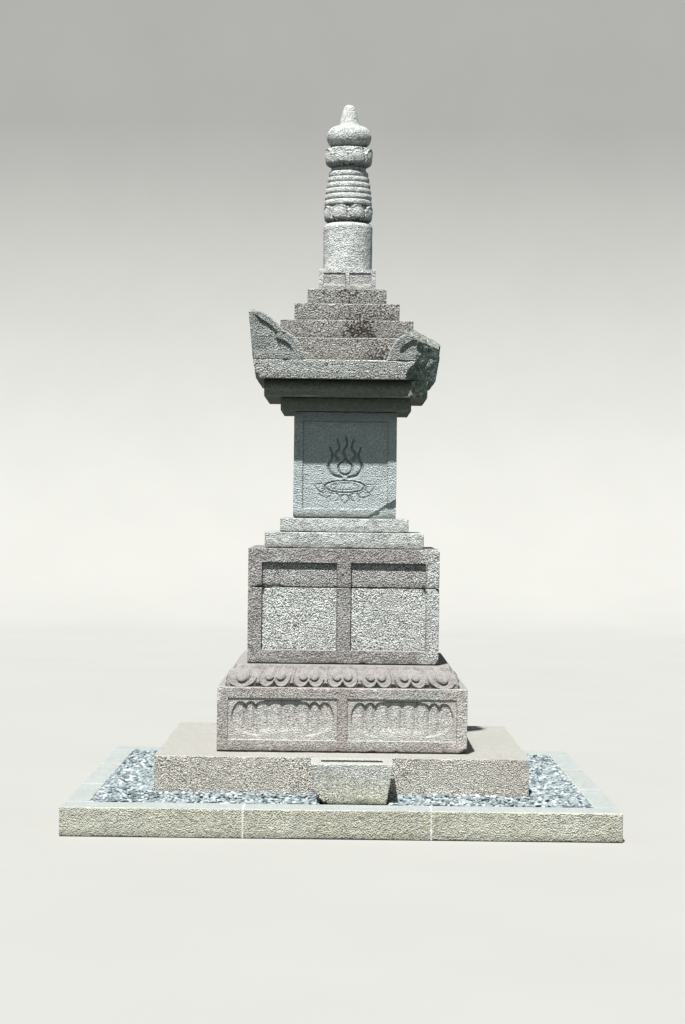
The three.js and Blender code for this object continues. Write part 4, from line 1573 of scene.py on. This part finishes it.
class BodyBlock(SubAssembly):
    """The square body with a bordered field, a lotus seat and a flaming jewel on each side."""

    border = 0.048
    recess = 0.0065
    seat_middle = 0.165
    rim_half = (0.104, 0.031)
    petal_reach = 0.160
    jewel_middle = 0.262
    jewel_radius = 0.036
    flames = (
        (((0.020, 0.212), (0.070, 0.222), (0.094, 0.276), (0.062, 0.322), (0.082, 0.372)), 0.0150, 0.0030),
        (((0.040, 0.306), (0.058, 0.340), (0.026, 0.362), (0.044, 0.412)), 0.0120, 0.0030),
    )
    middle_flame = (((0.0, 0.322), (-0.014, 0.348), (0.012, 0.384), (0.0, 0.430)), 0.0110, 0.0030)
    spall_high = 0.106
    spall_slope = 0.627
    spall_depth = 0.021

    def seat(self) -> list[Stroke]:
        """The lotus seat, about the foot of the side's middle.

        Returns:
            Its rim as an ellipse with a smaller one inside, a wavy line below the rim, and petals as
            pairs of bowed lines that fan out to the sides and below.
        """
        turn = np.linspace(0.0, 2.0 * math.pi, 49)
        a, b = self.rim_half
        middle = np.array([0.0, self.seat_middle])
        bend = np.linspace(-math.pi, 0.0, 73)
        wave = 1.20 + 0.06 * np.cos(14.0 * bend)
        rim = np.column_stack([a * np.cos(turn), b * np.sin(turn)])
        below = np.column_stack([a * 1.10 * np.cos(bend), b * wave * 1.2 * np.sin(bend)])
        lines = [
            Stroke(middle + rim, 0.0046, 0.0046, 0.007),
            Stroke(middle + rim * [0.72, 0.55], 0.0030, 0.0030, 0.003),
            Stroke(middle + below, 0.0034, 0.0034, 0.0045),
        ]
        for lean in np.linspace(-1.0, 1.0, 7):
            lines += [Stroke(path, 0.0038, 0.0028, 0.0045) for path in self.petal(lean)]
        return lines

    def petal(self, lean: float) -> list[Array]:
        """The two curved edges of one petal, from the rim to its tip.

        Args:
            lean: From -1 for the leftmost petal to 1 for the rightmost.

        Returns:
            Two paths, each p + t(q - p) bowed by w sin(pi t) to one side.
        """
        a, b = self.rim_half
        start, end = 0.95 * lean, 1.50 * lean
        root = np.array([a * 1.08 * math.sin(start), self.seat_middle - 1.35 * b * math.cos(start)])
        tip = np.array([self.petal_reach * math.sin(end), self.seat_middle + 0.018 - 0.108 * math.cos(end)])
        part = np.linspace(0.0, 1.0, 12)[:, None]
        line = root + part * (tip - root)
        side = np.array([-(tip - root)[1], (tip - root)[0]])
        side = side / max(np.linalg.norm(side), 1e-6)
        bow = 0.021 * np.sin(math.pi * part**0.75)
        return [line + side * bow, line - side * bow]

    def jewel(self) -> list[Stroke]:
        """A round jewel with a pointed head, and flames that rise beside and above it."""
        turn = np.linspace(-QUARTER, 1.2, 25)
        side = self.jewel_radius * np.column_stack([np.cos(turn), np.sin(turn)]) + [0.0, self.jewel_middle]
        head = [[0.0, self.jewel_middle + 1.5 * self.jewel_radius]]
        right = Stroke(np.vstack([side, head]), 0.0100, 0.0040, 0.0075)
        lines = [right, right.mirrored()]
        for corners, start, end in self.flames:
            flame = Stroke(smooth_path(corners), start, end, 0.0085)
            lines += [flame, flame.mirrored()]
        corners, start, end = self.middle_flame
        return [*lines, Stroke(smooth_path(corners), start, end, 0.0085)]

    def split_off(self, grid: Array, marks: dict[str, Array], low: Any, high: Any) -> None:
        """Breaks the front right foot corner in place.

        Below a line that falls from the right edge, the front is drawn back to d (1 - e/w)^0.6 plus
        noise, with e the distance from that edge and w where the line meets the foot.

        Args:
            grid: The body's points.
            marks: Its marks, of which the edge gets a painted highlight along the line.
            low: Lowest corner of the body.
            high: Highest corner of the body.
        """
        gap, up = high.x - grid[..., 0], grid[..., 2] - low.z
        ragged = NOISE.layers(grid * np.array([1.0, 0.0, 1.0]) + 7.0, 0.03, 3)
        below = (self.spall_high - self.spall_slope * gap - up + 0.0025 * ragged) * 0.85
        reach = np.clip(1.0 - gap / (self.spall_high / self.spall_slope), 0.0, 1.0)
        depth = self.spall_depth * reach**0.6 + 0.0022 * ragged
        front = grid[..., 1] < low.y + 0.03
        drawn = np.where(front, low.y + depth * ramp(below, 0.0, 0.0035), low.y)
        grid[..., 1] = np.maximum(grid[..., 1], drawn)
        # Painted highlight along the upper edge of the break.
        lip_highlight = np.exp(-(((below + 0.003) / 0.003) ** 2)) * ramp(reach, 0.1, 0.3) * front
        marks["edge"] = np.maximum(marks["edge"], lip_highlight * (grid[..., 1] < low.y + 0.01))

    def build(self) -> None:
        """Makes the body."""
        low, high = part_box("body_block")
        half = high.x - self.border
        panel = Panels([(-half, half)], low.z + self.border, high.z - self.border, self.recess)
        lines = [*self.seat(), *self.jewel()]

        def carved(along: Array, level: Array) -> Array:
            """The bordered field with its carved lines."""
            depth = panel.relief(along, level)
            up = level - low.z
            spot = (np.abs(along) < self.petal_reach + 0.03) & (up > 0.03) & (up < 0.46)
            across, height = along[spot], up[spot]
            depth[spot] += np.max([line.cut(across, height) for line in lines], axis=0)
            return depth

        def weathered(along: Array, level: Array) -> Array:
            """Darker below the eave and along the foot."""
            ragged = 0.03 * face_noise(along, level, 0.10, 2)
            head = 0.6 * ramp(level + ragged, high.z - 0.09, high.z)
            return head + 0.35 * ramp(level + ragged, low.z + 0.055, low.z + 0.01)

        block = node_block(
            "body_block", "body", step=0.0080, rise=0.0080, relief=carved, creases=(-half, half),
            level_creases=(*panel.foot_creases(), panel.high), ledge=0.02, far=2.2,
            fine=(-0.175, high.x - 0.022, 0.0037), level_fine=(low.z + 0.006, low.z + 0.44, 0.0042),
            wear=Wear(edge=0.004, chip=0.012, face=0.0016), undercut=0.005,
            knocks=(((-high.x + 0.008, low.y + 0.008, low.z + 0.010), (-1.0, -0.8, -0.9)),),
            stain=weathered,
        )
        grid, marks = block.surface()
        self.split_off(grid, marks, low, high)
        self.place(make_wrapped(block.name, grid, marks), "body_stone", "body_block")


@dataclass(frozen=True)
class BreakPlane:
    """A rough plane that a piece is broken along.

    Attributes:
        point: A point of it.
        normal: Towards what is broken off.
        rough: How far its bumps reach, in metres.
    """

    point: tuple[float, float, float]
    normal: tuple[float, float, float]
    rough: float


class Fracture:
    """The broken front right corner of the roof and the lost tip of the ear behind it."""

    step = BreakPlane((0.325, -0.480, 2.325), (0.66, -0.72, -0.22), 0.014)
    eave = BreakPlane((0.344, -0.480, 2.325), (0.66, -0.72, -0.435), 0.018)
    side = BreakPlane((0.344, -0.478, 2.325), (0.66, -0.72, -0.22), 0.018)
    top = BreakPlane((0.375, -0.490, 2.420), (0.54, -0.29, 0.79), 0.009)
    back_tip = BreakPlane((0.430, 0.480, 2.513), (0.54, -0.07, 0.84), 0.006)
    reach = 0.55
    thickness = 0.5

    def cutter(self, plane: BreakPlane) -> Piece:
        """A block with one rough face on a plane.

        Args:
            plane: The plane.

        Returns:
            The block: a grid on the plane, moved along the normal by noise that mostly lies on the
            piece's side, closed by a flat back.
        """
        out = np.array(plane.normal) / np.linalg.norm(plane.normal)
        first = np.cross(out, [0.0, 0.0, 1.0])
        first /= np.linalg.norm(first)
        second = np.cross(out, first)
        steps = np.linspace(-self.reach, self.reach, 141)
        across, up = np.meshgrid(steps, steps)
        flat = np.array(plane.point) + across[..., None] * first + up[..., None] * second
        ridges = np.abs(NOISE.layers(flat + 5.0, 0.07, 3))
        lift = plane.rough * (NOISE.layers(flat, 0.12, 2) - 0.4 + 0.9 * ridges)
        face = flat + lift[..., None] * out
        back = flat + self.thickness * out
        size = len(steps)
        index = np.arange(size * size).reshape(size, size)
        front = grid_quads(index)
        rear = front[:, ::-1] + size * size
        rim = np.concatenate([index[0, :-1], index[:-1, -1], index[-1, :0:-1], index[:0:-1, 0]])
        beside = np.roll(rim, -1)
        wall = np.stack([rim, beside, beside + size * size, rim + size * size], axis=-1)
        points = np.concatenate([face.reshape(-1, 3), back.reshape(-1, 3)])
        quads = np.concatenate([front, rear, wall])
        if np.dot(np.cross(first, second), out) < 0:
            quads = quads[:, ::-1]
        return make_mesh("cutter", points, quads)

    def cut(self, piece: Piece, material: bpy.types.Material, *planes: BreakPlane) -> None:
        """Breaks a corner off a piece.

        Args:
            piece: The piece, already dressed.
            material: Material of the broken surface.
            *planes: The planes that it is broken along.
        """
        piece.data.materials.append(material)
        for plane in planes:
            cutter = self.cutter(plane)
            cutter.data.materials.append(material)
            cutter.data.materials.append(material)
            cutter.data.polygons.foreach_set("material_index", np.ones(len(cutter.data.polygons), np.int32))
            boolean = piece.modifiers.new("break", "BOOLEAN")
            boolean.operation = "DIFFERENCE"
            boolean.solver = "MANIFOLD"
            boolean.object = cutter
            bpy.context.view_layer.update()
            shown = piece.evaluated_get(bpy.context.evaluated_depsgraph_get())
            broken = bpy.data.meshes.new_from_object(shown)
            piece.modifiers.clear()
            piece.data = broken
            bpy.data.objects.remove(cutter)
        piece.data.set_sharp_from_angle(angle=SHARP_ANGLE)


class Eaves(PlainTiers):
    """The upper step under the eave and the eave slab, both broken at the front right corner."""

    def build(self, fracture: Fracture) -> None:
        """Makes both stones.

        Args:
            fracture: The broken corner.
        """
        low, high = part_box("eave_slab")
        half = (high.x - low.x) / 2
        broken = self.finishes.materials["fracture"]
        slab = CutStone("eave", (half - 0.016,) * 2, (half,) * 2, low.z, high.z,
                        ledge=0.10, wear=Wear(edge=0.010, chip=0.012, chip_size=0.06), foot_edge=0.3,
                        knocks=(((-0.454, -0.454, low.z + 0.012), (-1.0, -0.8, -0.9)),)).build()
        self.place(slab, "roof_stone", "eave_slab", material="eave_stone")
        fracture.cut(slab, broken, fracture.eave)
        step = self.tier("eave_step_upper", "roof_stone", "soffit_stone", 3.0, head=1.0)
        fracture.cut(step, broken, fracture.step)


class SteppedRoof(SubAssembly):
    """Four steps up to the finial, with dark growth down their middle."""

    growth = (
        (0.185, 0.075, 1.0, 0.9), (0.075, 0.085, 1.05, 0.45), (0.11, 0.12, 0.75, 1.0), (0.0, 0.08, 0.35, 0.0),
    )

    def build(self) -> None:
        """Makes the steps, each with the mark moss strongest near its place of growth."""
        for number, (place, spread, strength, lowness) in enumerate(self.growth, start=1):
            node = f"roof_step_{number}"
            block = node_block(node, f"{node}_stone", ledge=0.09, seed_shift=4.0 * number,
                               wear=Wear(edge=0.005, chip=0.012, face=0.002, grit=0.0011))
            grid, marks = block.surface()
            near = np.exp(-(((block.columns()[2] - place) / spread) ** 2)) * strength
            marks["moss"] = near * (1.0 - lowness * ramp(grid[..., 2], block.bottom + 0.02, block.top))
            self.place(make_wrapped(block.name, grid, marks), "roof_stone", node)


@dataclass(frozen=True)
class EarShape:
    """A corner ear in metres; places on its face are across from the tower's axis and over the eave.

    Attributes:
        edge: The scalloped inner edge from the foot to the tip, through the cusp.
        outer: Outer edge at the foot.
        tip_out: Outer edge at the tip.
        tip_high: Height of the tip.
        field: Corners of the sunk field.
        sinking: Depth of the field.
        notch: The short groove that runs into the face from the cusp.
        bevel: Rounding along the scalloped edge.
        corner: Rounding of the outer edge.
        rings: Points along the scalloped edge.
    """

    edge: tuple[tuple[float, float], ...] = (
        (0.205, 0.0), (0.213, 0.018), (0.220, 0.036), (0.226, 0.054), (0.234, 0.072), (0.245, 0.089),
        (0.258, 0.106), (0.272, 0.119), (0.288, 0.128), (0.305, 0.134), (0.314, 0.141), (0.323, 0.149),
        (0.337, 0.162), (0.352, 0.178), (0.370, 0.194), (0.388, 0.208), (0.406, 0.222), (0.424, 0.233),
        (0.440, 0.240), (0.456, 0.246), (0.470, 0.249), (0.482, 0.250),
    )
    outer: float = 0.480
    tip_out: float = 0.504
    tip_high: float = 0.250
    field: tuple[tuple[float, float], ...] = (
        (0.277, 0.034), (0.277, 0.047), (0.281, 0.055), (0.288, 0.063), (0.299, 0.076), (0.313, 0.087),
        (0.326, 0.094), (0.339, 0.098), (0.362, 0.1036), (0.360, 0.115), (0.355, 0.134), (0.368, 0.149),
        (0.384, 0.164), (0.400, 0.177), (0.417, 0.188), (0.440, 0.201), (0.466, 0.219), (0.480, 0.226),
        (0.540, 0.232), (0.540, 0.034),
    )
    sinking: float = 0.0105
    notch: tuple[tuple[float, float], ...] = ((0.300, 0.138), (0.322, 0.126))
    bevel: float = 0.012
    corner: float = 0.005
    rings: int = 72


class CornerEars(SubAssembly):
    """Four two-lobed ears that stand on the corners of the eave."""

    shape = EarShape()
    pitch = 0.0062

    def grid(self) -> tuple[Array, dict[str, Array]]:
        """One ear for the corner towards +X and -Y.

        Rings follow the scalloped edge upwards. A ring at height z is the square between the inner
        edge g(z) and the flared outer edge on both faces. Each outer face then sinks by its carving,
        and the edges between faces are rounded.

        Returns:
            The grid of points and its marks.
        """
        shape = self.shape
        line = even_path(shape.edge, shape.rings)
        inner, level = line[:, 0], line[:, 1]
        outer = shape.outer + (shape.tip_out - shape.outer) * level / shape.tip_high
        outer = outer - 0.015 * ramp(level, shape.tip_high - 0.014, shape.tip_high)
        parts = 4.0 * graded(0.0, 0.25, self.pitch)[:-1]
        square = np.concatenate([axis.out() + np.outer(2.0 * parts - 1.0, axis.run()) for axis in Axis])
        centre = (inner + outer)[:, None, None] / 2
        half = (outer - inner)[:, None, None] / 2
        flat = centre * np.array([1.0, -1.0]) + half * square
        grid = np.concatenate([flat, np.broadcast_to(level[:, None, None], (*flat.shape[:2], 1))], axis=-1)
        sunk, worn = np.zeros(grid.shape[:2]), np.zeros(grid.shape[:2])
        signs = np.array([1.0, -1.0])
        place = grid.copy()
        for across, facing in ((0, 1), (1, 0)):
            along, height = place[..., across] * signs[across], place[..., 2]
            behind = outer[:, None] - place[..., facing] * signs[facing]
            gap, share = nearest_on_path(along, height, line)
            slope = self.inward(line, share)
            near = (gap < shape.bevel) & (behind < shape.bevel)
            for_edge = np.where(near, shape.bevel - gap, 0.0)
            for_face = np.where(near, shape.bevel - behind, 0.0)
            size = np.maximum(np.hypot(for_edge, for_face), 1e-9)
            drawn = np.where(near, shape.bevel - shape.bevel * for_edge / size - gap, 0.0)
            pressed = np.where(near, shape.bevel - shape.bevel * for_face / size - behind, 0.0)
            carve = self.carving(along, height) * ramp(behind, 0.0008, 0.0002)
            grid[..., across] += signs[across] * slope[..., 0] * drawn
            grid[..., 2] += slope[..., 1] * drawn
            grid[..., facing] -= signs[facing] * (np.maximum(pressed, 0.0) + carve)
            sunk = np.maximum(sunk, carve / shape.sinking)
            # Mark edge on the rounded bevels: worn stone with a painted highlight.
            worn = np.maximum(worn, np.clip(pressed / shape.bevel / 0.3, 0.0, 1.0))
        self.round_corner(grid, outer)
        # Mark crevice: painted shade along the walls of the sunk field.
        crevice = np.clip(np.abs(sunk - np.roll(sunk, 1, axis=0)) * 1.2, 0.0, 1.0)
        return grid, {"edge": worn, "sunk": np.clip(sunk, 0.0, 1.0), "crevice": crevice}

    def inward(self, line: Array, share: Array) -> Array:
        """Unit direction into the ear, square to the scalloped edge, at a share of its parts."""
        steps = np.gradient(line, axis=0)
        normals = np.column_stack([steps[:, 1], -steps[:, 0]])
        normals /= np.linalg.norm(normals, axis=1, keepdims=True)
        places = np.linspace(0.0, 1.0, len(line))
        return np.stack([np.interp(share, places, normals[:, part]) for part in (0, 1)], axis=-1)

    def round_corner(self, grid: Array, outer: Array) -> None:
        """Rounds the upright outer edge in place: points go to the circle of the corner's radius."""
        radius = self.shape.corner
        core = (outer[:, None] - radius)
        beside, before = grid[..., 0] - core, -grid[..., 1] - core
        near = (beside > 0.0) & (before > 0.0)
        size = np.maximum(np.hypot(beside, before), 1e-9)
        grid[..., 0] = np.where(near, core + radius * beside / size, grid[..., 0])
        grid[..., 1] = np.where(near, -core - radius * before / size, grid[..., 1])

    def carving(self, along: Array, level: Array) -> Array:
        """Depth of the sunk field and the notch at a place of an outer face."""
        inside = signed_distance(along, level, np.array(self.shape.field))
        closed = ramp(along, 0.442, 0.492)
        depth = self.shape.sinking * ramp(inside, -0.0018, 0.0018) * (1.0 - closed)
        notch, _ = nearest_on_path(along, level, np.array(self.shape.notch))
        return np.maximum(depth, 0.008 * ramp(notch, 0.005, 0.001))

    def build(self, fracture: Fracture) -> None:
        """Makes the four ears.

        Args:
            fracture: The broken places, which the two right ears lie at.
        """
        grid, marks = self.grid()
        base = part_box("ear_front_left")[0].z
        breaks = {"front_right": (fracture.side, fracture.top), "back_right": (fracture.back_tip,)}
        for turns, corner in enumerate(("front_right", "back_right", "back_left", "front_left")):
            cos, sin = math.cos(turns * QUARTER), math.sin(turns * QUARTER)
            turn = np.array([[cos, -sin, 0], [sin, cos, 0], [0, 0, 1]])
            placed = grid @ turn.T + np.array([0.0, 0.0, base])
            lean = np.sign(placed[..., :2])
            rough = 0.0020 * (0.6 + 0.7 * NOISE.layers(placed, 0.05, 3))
            placed[..., :2] -= lean * np.maximum(rough, 0.0)[..., None]
            piece = make_wrapped(f"ear_{corner}_stone", placed, marks)
            self.place(piece, "roof_stone", f"ear_{corner}", material="ear_stone")
            if corner in breaks:
                fracture.cut(piece, self.finishes.materials["fracture"], *breaks[corner])


class SquareBasin(SubAssembly):
    """The small square stone below the finial, with two panels a side."""

    side_stile = 0.026
    mid_stile = 0.020
    foot = 0.022
    head = 0.020
    depth = 0.005

    def build(self) -> None:
        """Makes the stone."""
        low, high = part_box("square_basin")
        spans = two_spans(high.x, self.side_stile, self.mid_stile)
        panels = Panels(spans, low.z + self.foot, high.z - self.head, self.depth)
        block = node_block(
            "square_basin", "square_basin_stone", step=0.007, rise=0.007, relief=panels.relief,
            creases=panels.creases(), level_creases=(panels.low, panels.high), ledge=0.03,
            wear=Wear(edge=0.003, chip=0.007, chip_size=0.03),
            stain=lambda along, level: 0.80 - 0.50 * (panels.relief(along, level) < 0.001),
        )
        self.place(block.build(), "finial_stone", "square_basin")


class Finial(SubAssembly):
    """The turned stones on top: dome, two lotus cups, the ring shaft and the jewel."""

    columns = 96
    petals = 8

    def revolve(
        self, node: str, profile: Array, growth: float, petals: float = 0.0, rough: float = 0.0018,
    ) -> None:
        """Carries a profile around the tower's axis.

        Args:
            node: The node that it stands for.
            profile: Radius and level a row, from the foot's middle to the top's middle.
            growth: How strongly dark growth marks its narrow parts.
            petals: How far the gaps between its petals are cut back; 0 where it has none.
            rough: Depth of its worn swells.
        """
        angle = np.linspace(0.0, 2 * math.pi, self.columns, endpoint=False) - QUARTER
        radius, level = profile[1:-1, 0][:, None], profile[1:-1, 1][:, None]
        share = (level - profile[0, 1]) / (profile[-1, 1] - profile[0, 1])
        around, up = np.broadcast_arrays(angle[None, :], share)
        wide = np.broadcast_to(radius, around.shape)
        depth = petals * self.petal_relief(around, up)
        cos, sin = np.cos(around), np.sin(around)
        grid = np.stack([wide * cos, wide * sin, np.broadcast_to(level, around.shape)], axis=-1)
        worn = rough * (0.6 + 0.6 * NOISE.layers(grid, 0.05, 3)) + 0.0006 * NOISE.layers(grid, 0.015, 2)
        wide = np.maximum(wide - depth - np.maximum(worn, 0.0), 0.002)
        grid[..., 0], grid[..., 1] = wide * cos, wide * sin
        drawn_in = np.clip((wide.max(axis=0) - wide) / 0.012, 0.0, 1.0) * growth
        # Mark edge on the petals' raised parts: worn stone with a painted highlight.
        marks = {"edge": ramp(depth, 0.003, 0.0) * (petals > 0.0), "moss": drawn_in}
        name = node.replace("_lotus", "")
        self.place(make_wrapped(f"{name}_stone", grid, marks), "finial_stone", node)

    def profile(self, node: str, shares: Sequence[tuple[float, float]], count: int) -> Array:
        """A smooth profile through given points.

        Args:
            node: Node whose levels it spans.
            shares: Radius in metres and share of the height, from the foot to the top.
            count: Points along it.

        Returns:
            Radius and level a row, evenly spaced along the line, with the axis at both ends.
        """
        low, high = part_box(node)
        line = [(radius, low.z + share * (high.z - low.z)) for radius, share in shares]
        return np.vstack([[0.0, low.z], even_path(line, count), [0.0, high.z]])

    def arc(
        self, start: tuple[float, float], end: tuple[float, float], bow: float, count: int = 9,
    ) -> list[Any]:
        """Points from start to end, bowed outwards by bow times sin(pi t)."""
        part = np.linspace(0.0, 1.0, count)
        radius = start[0] + (end[0] - start[0]) * part + bow * np.sin(math.pi * part)
        rise = start[1] + (end[1] - start[1]) * part
        return list(zip(radius, rise))

    def petal_relief(self, around: Array, up: Array) -> Array:
        """Petals of a cup: round arches side by side, a thin rim on each and small tips behind.

        Args:
            around: Angles.
            up: Shares of the height.

        Returns:
            Depth, of which 1 is about that of the gaps between the arches.
        """
        turn = (around + QUARTER) * self.petals / (2 * math.pi)
        local = 2.0 * (turn - np.floor(turn)) - 1.0
        head = 0.25 + 0.72 * np.sqrt(np.clip(1.0 - np.abs(local) ** 2.6, 0.0, 1.0))
        gap = ramp(up - head, -0.02, 0.03)
        seam = ramp(np.abs(local), 0.90, 1.0)
        rim = ramp(head - up, 0.11, 0.03) * (1.0 - gap) * ramp(up, 0.2, 0.45)
        tips = ramp(np.abs(np.abs(local) - 1.0), 0.20, 0.05) * gap
        swell = (1.0 - local**2) * np.sin(math.pi * np.clip(up, 0.0, 1.0))
        return 0.55 + 0.75 * gap + 0.5 * seam - 0.35 * rim - 0.35 * tips - 0.5 * swell

    def build(self) -> None:
        """Makes the five turned stones from the bottom up."""
        dome = [(0.10, 0.0), (0.129, 0.0), (0.131, 0.012), (0.1315, 0.3),
                *self.arc((0.1315, 0.88), (0.118, 0.99), 0.005), (0.105, 1.0), (0.05, 1.0)]
        lower_cup = [(0.09, 0.0), (0.108, 0.0), *self.arc((0.110, 0.02), (0.133, 0.34), 0.007), (0.1345, 0.6),
                     (0.1340, 0.95), (0.131, 1.0), (0.10, 1.0), (0.06, 1.0)]
        upper_cup = [(0.08, 0.0), (0.096, 0.0), *self.arc((0.100, 0.02), (0.1285, 0.30), 0.008),
                     (0.1305, 0.5), (0.1305, 0.95), (0.127, 1.0), (0.10, 1.0), (0.06, 1.0)]
        angles = np.linspace(-1.47, 1.30, 26)
        ball = [(0.120 * math.cos(a) ** 0.50, 0.265 * (1 + math.sin(a))) for a in angles]
        jewel = [(0.04, 0.0), *ball, (0.054, 0.540), (0.0505, 0.575), (0.0475, 0.65), (0.0435, 0.74),
                 (0.039, 0.82), (0.034, 0.89), (0.029, 0.94), (0.023, 0.972), (0.015, 0.990), (0.007, 0.998)]
        self.revolve("dome", self.profile("dome", dome, 80), 0.0)
        self.revolve("lower_lotus_cup", self.profile("lower_lotus_cup", lower_cup, 64), 0.7, petals=0.0120)
        self.revolve("ring_shaft", self.ring_profile(), 0.15, rough=0.0010)
        self.revolve("upper_lotus_cup", self.profile("upper_lotus_cup", upper_cup, 64), 0.35, petals=0.0105)
        self.revolve("jewel", self.profile("jewel", jewel, 110), 0.04)

    def ring_profile(self) -> Array:
        """The ring shaft's profile: six rounded rings that taper upwards, and a thin collar.

        Returns:
            Radius and level a row. Within a ring the radius is R - g(1 - sin(pi t)^0.24), with g the
            groove's depth.
        """
        low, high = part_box("ring_shaft")
        collar, rings, groove = 0.022, 6, 0.012
        pitch = (high.z - low.z - collar) / rings
        rows = [(0.0, low.z), (0.10, low.z)]
        for ring in range(rings):
            wide = 0.127 + (0.106 - 0.127) * (ring / (rings - 1)) ** 1.6
            for t in (1.0 - np.cos(np.linspace(0.12, math.pi - 0.12, 15))) / 2.0:
                depth = groove * (1.0 - math.sin(math.pi * t) ** 0.24)
                rows.append((wide - depth, low.z + (ring + t) * pitch))
        for t in np.linspace(0.1, 1.0, 5):
            rows.append((0.094 - 0.008 * (2 * t - 1) ** 2, high.z - collar * (1 - t)))
        return np.array([*rows, (0.05, high.z), (0.0, high.z)])


@dataclass(frozen=True)
class Studio:
    """Floor, light and camera, in metres.

    Attributes:
        distance: How far the camera stands from the tower's axis.
        eye: The camera's height.
        focal: Focal length in pixels of the 1024 pixel side.
        offset: The camera's place in X.
        roll: How far the picture is turned, in degrees.
    """

    distance: float = 11.3
    eye: float = 1.546
    focal: float = 2120.0
    offset: float = -0.0107
    roll: float = 0.70

    def build(self) -> None:
        """Makes the floor, the lights and the camera."""
        self.build_floor()
        self.build_light()
        self.build_camera()

    def build_floor(self) -> None:
        """A pale sweep: flat below the tower, then curved up to a wall far behind it."""
        bend, bow = np.linspace(0.1, QUARTER, 16), 8.0
        run = np.concatenate([np.linspace(-200.0, 16.0, 30), 16.0 + bow * np.sin(bend), [16.0 + bow]])
        rise = np.concatenate([np.zeros(30), bow * (1 - np.cos(bend)), [30.0]]) - 0.0005
        wide = np.linspace(-160.0, 160.0, 9)
        points = np.stack(np.broadcast_arrays(wide[None, :], run[:, None], rise[:, None]), axis=-1)
        quads = grid_quads(np.arange(len(run) * len(wide)).reshape(len(run), len(wide)))[:, ::-1]
        floor = make_mesh("studio_floor", points.reshape(-1, 3), quads)
        shader = Shader("studio_paper")
        tone = shader.mix(shader.noise(0.8, 3.0), linear(165, 165, 162), linear(171, 171, 168))
        bumps = shader.bump(shader.noise(40.0), 0.0003)
        floor.data.materials.append(shader.finish(tone, shader.noise(3.0) * 0.1 + 0.85, bumps))
        floor.visible_diffuse = False

    def build_light(self) -> None:
        """A broad key from the upper left front, and an even pale sky."""
        key = bpy.data.lights.new("key", "SUN")
        key.energy = 6.8
        key.angle = math.radians(1.2)
        key.color = (1.0, 0.985, 0.965)
        lamp = bpy.data.objects.new("key", key)
        lamp.rotation_euler = (math.radians(26.1), 0.0, math.radians(-18.3))
        bpy.context.scene.collection.objects.link(lamp)
        world = bpy.data.worlds.new("studio")
        world.use_nodes = True
        sky = world.node_tree.nodes["Background"].inputs
        sky["Color"].default_value = (0.86, 0.98, 0.97, 1.0)
        sky["Strength"].default_value = 0.20
        bpy.context.scene.world = world
        bpy.context.scene.view_settings.view_transform = "Standard"

    def build_camera(self) -> None:
        """A level camera in front of the tower, turned a little about its own axis."""
        lens = bpy.data.cameras.new("camera")
        lens.sensor_fit = "VERTICAL"
        lens.sensor_height = 36.0
        lens.lens = 36.0 * self.focal / 1024.0
        camera = bpy.data.objects.new("camera", lens)
        camera.location = (self.offset, -self.distance, self.eye)
        camera.rotation_euler = (QUARTER, -math.radians(self.roll), 0.0)
        bpy.context.scene.collection.objects.link(camera)
        bpy.context.scene.camera = camera


def main() -> None:
    """Builds the sub-assemblies from the ground up, then the studio."""
    logging.basicConfig(level=logging.INFO, format="%(name)s %(message)s")
    Studio().build()
    finishes, fracture = Finishes(), Fracture()
    lower = (Kerb, GravelBed, Plinth, OfferingBasin, LowerBox, LotusBand, PanelledBase, PlainTiers, BodyBlock)
    for assembly in lower:
        assembly(finishes).build()
    Eaves(finishes).build(fracture)
    SteppedRoof(finishes).build()
    CornerEars(finishes).build(fracture)
    SquareBasin(finishes).build()
    Finial(finishes).build()


if __name__ == "__main__":
    main()
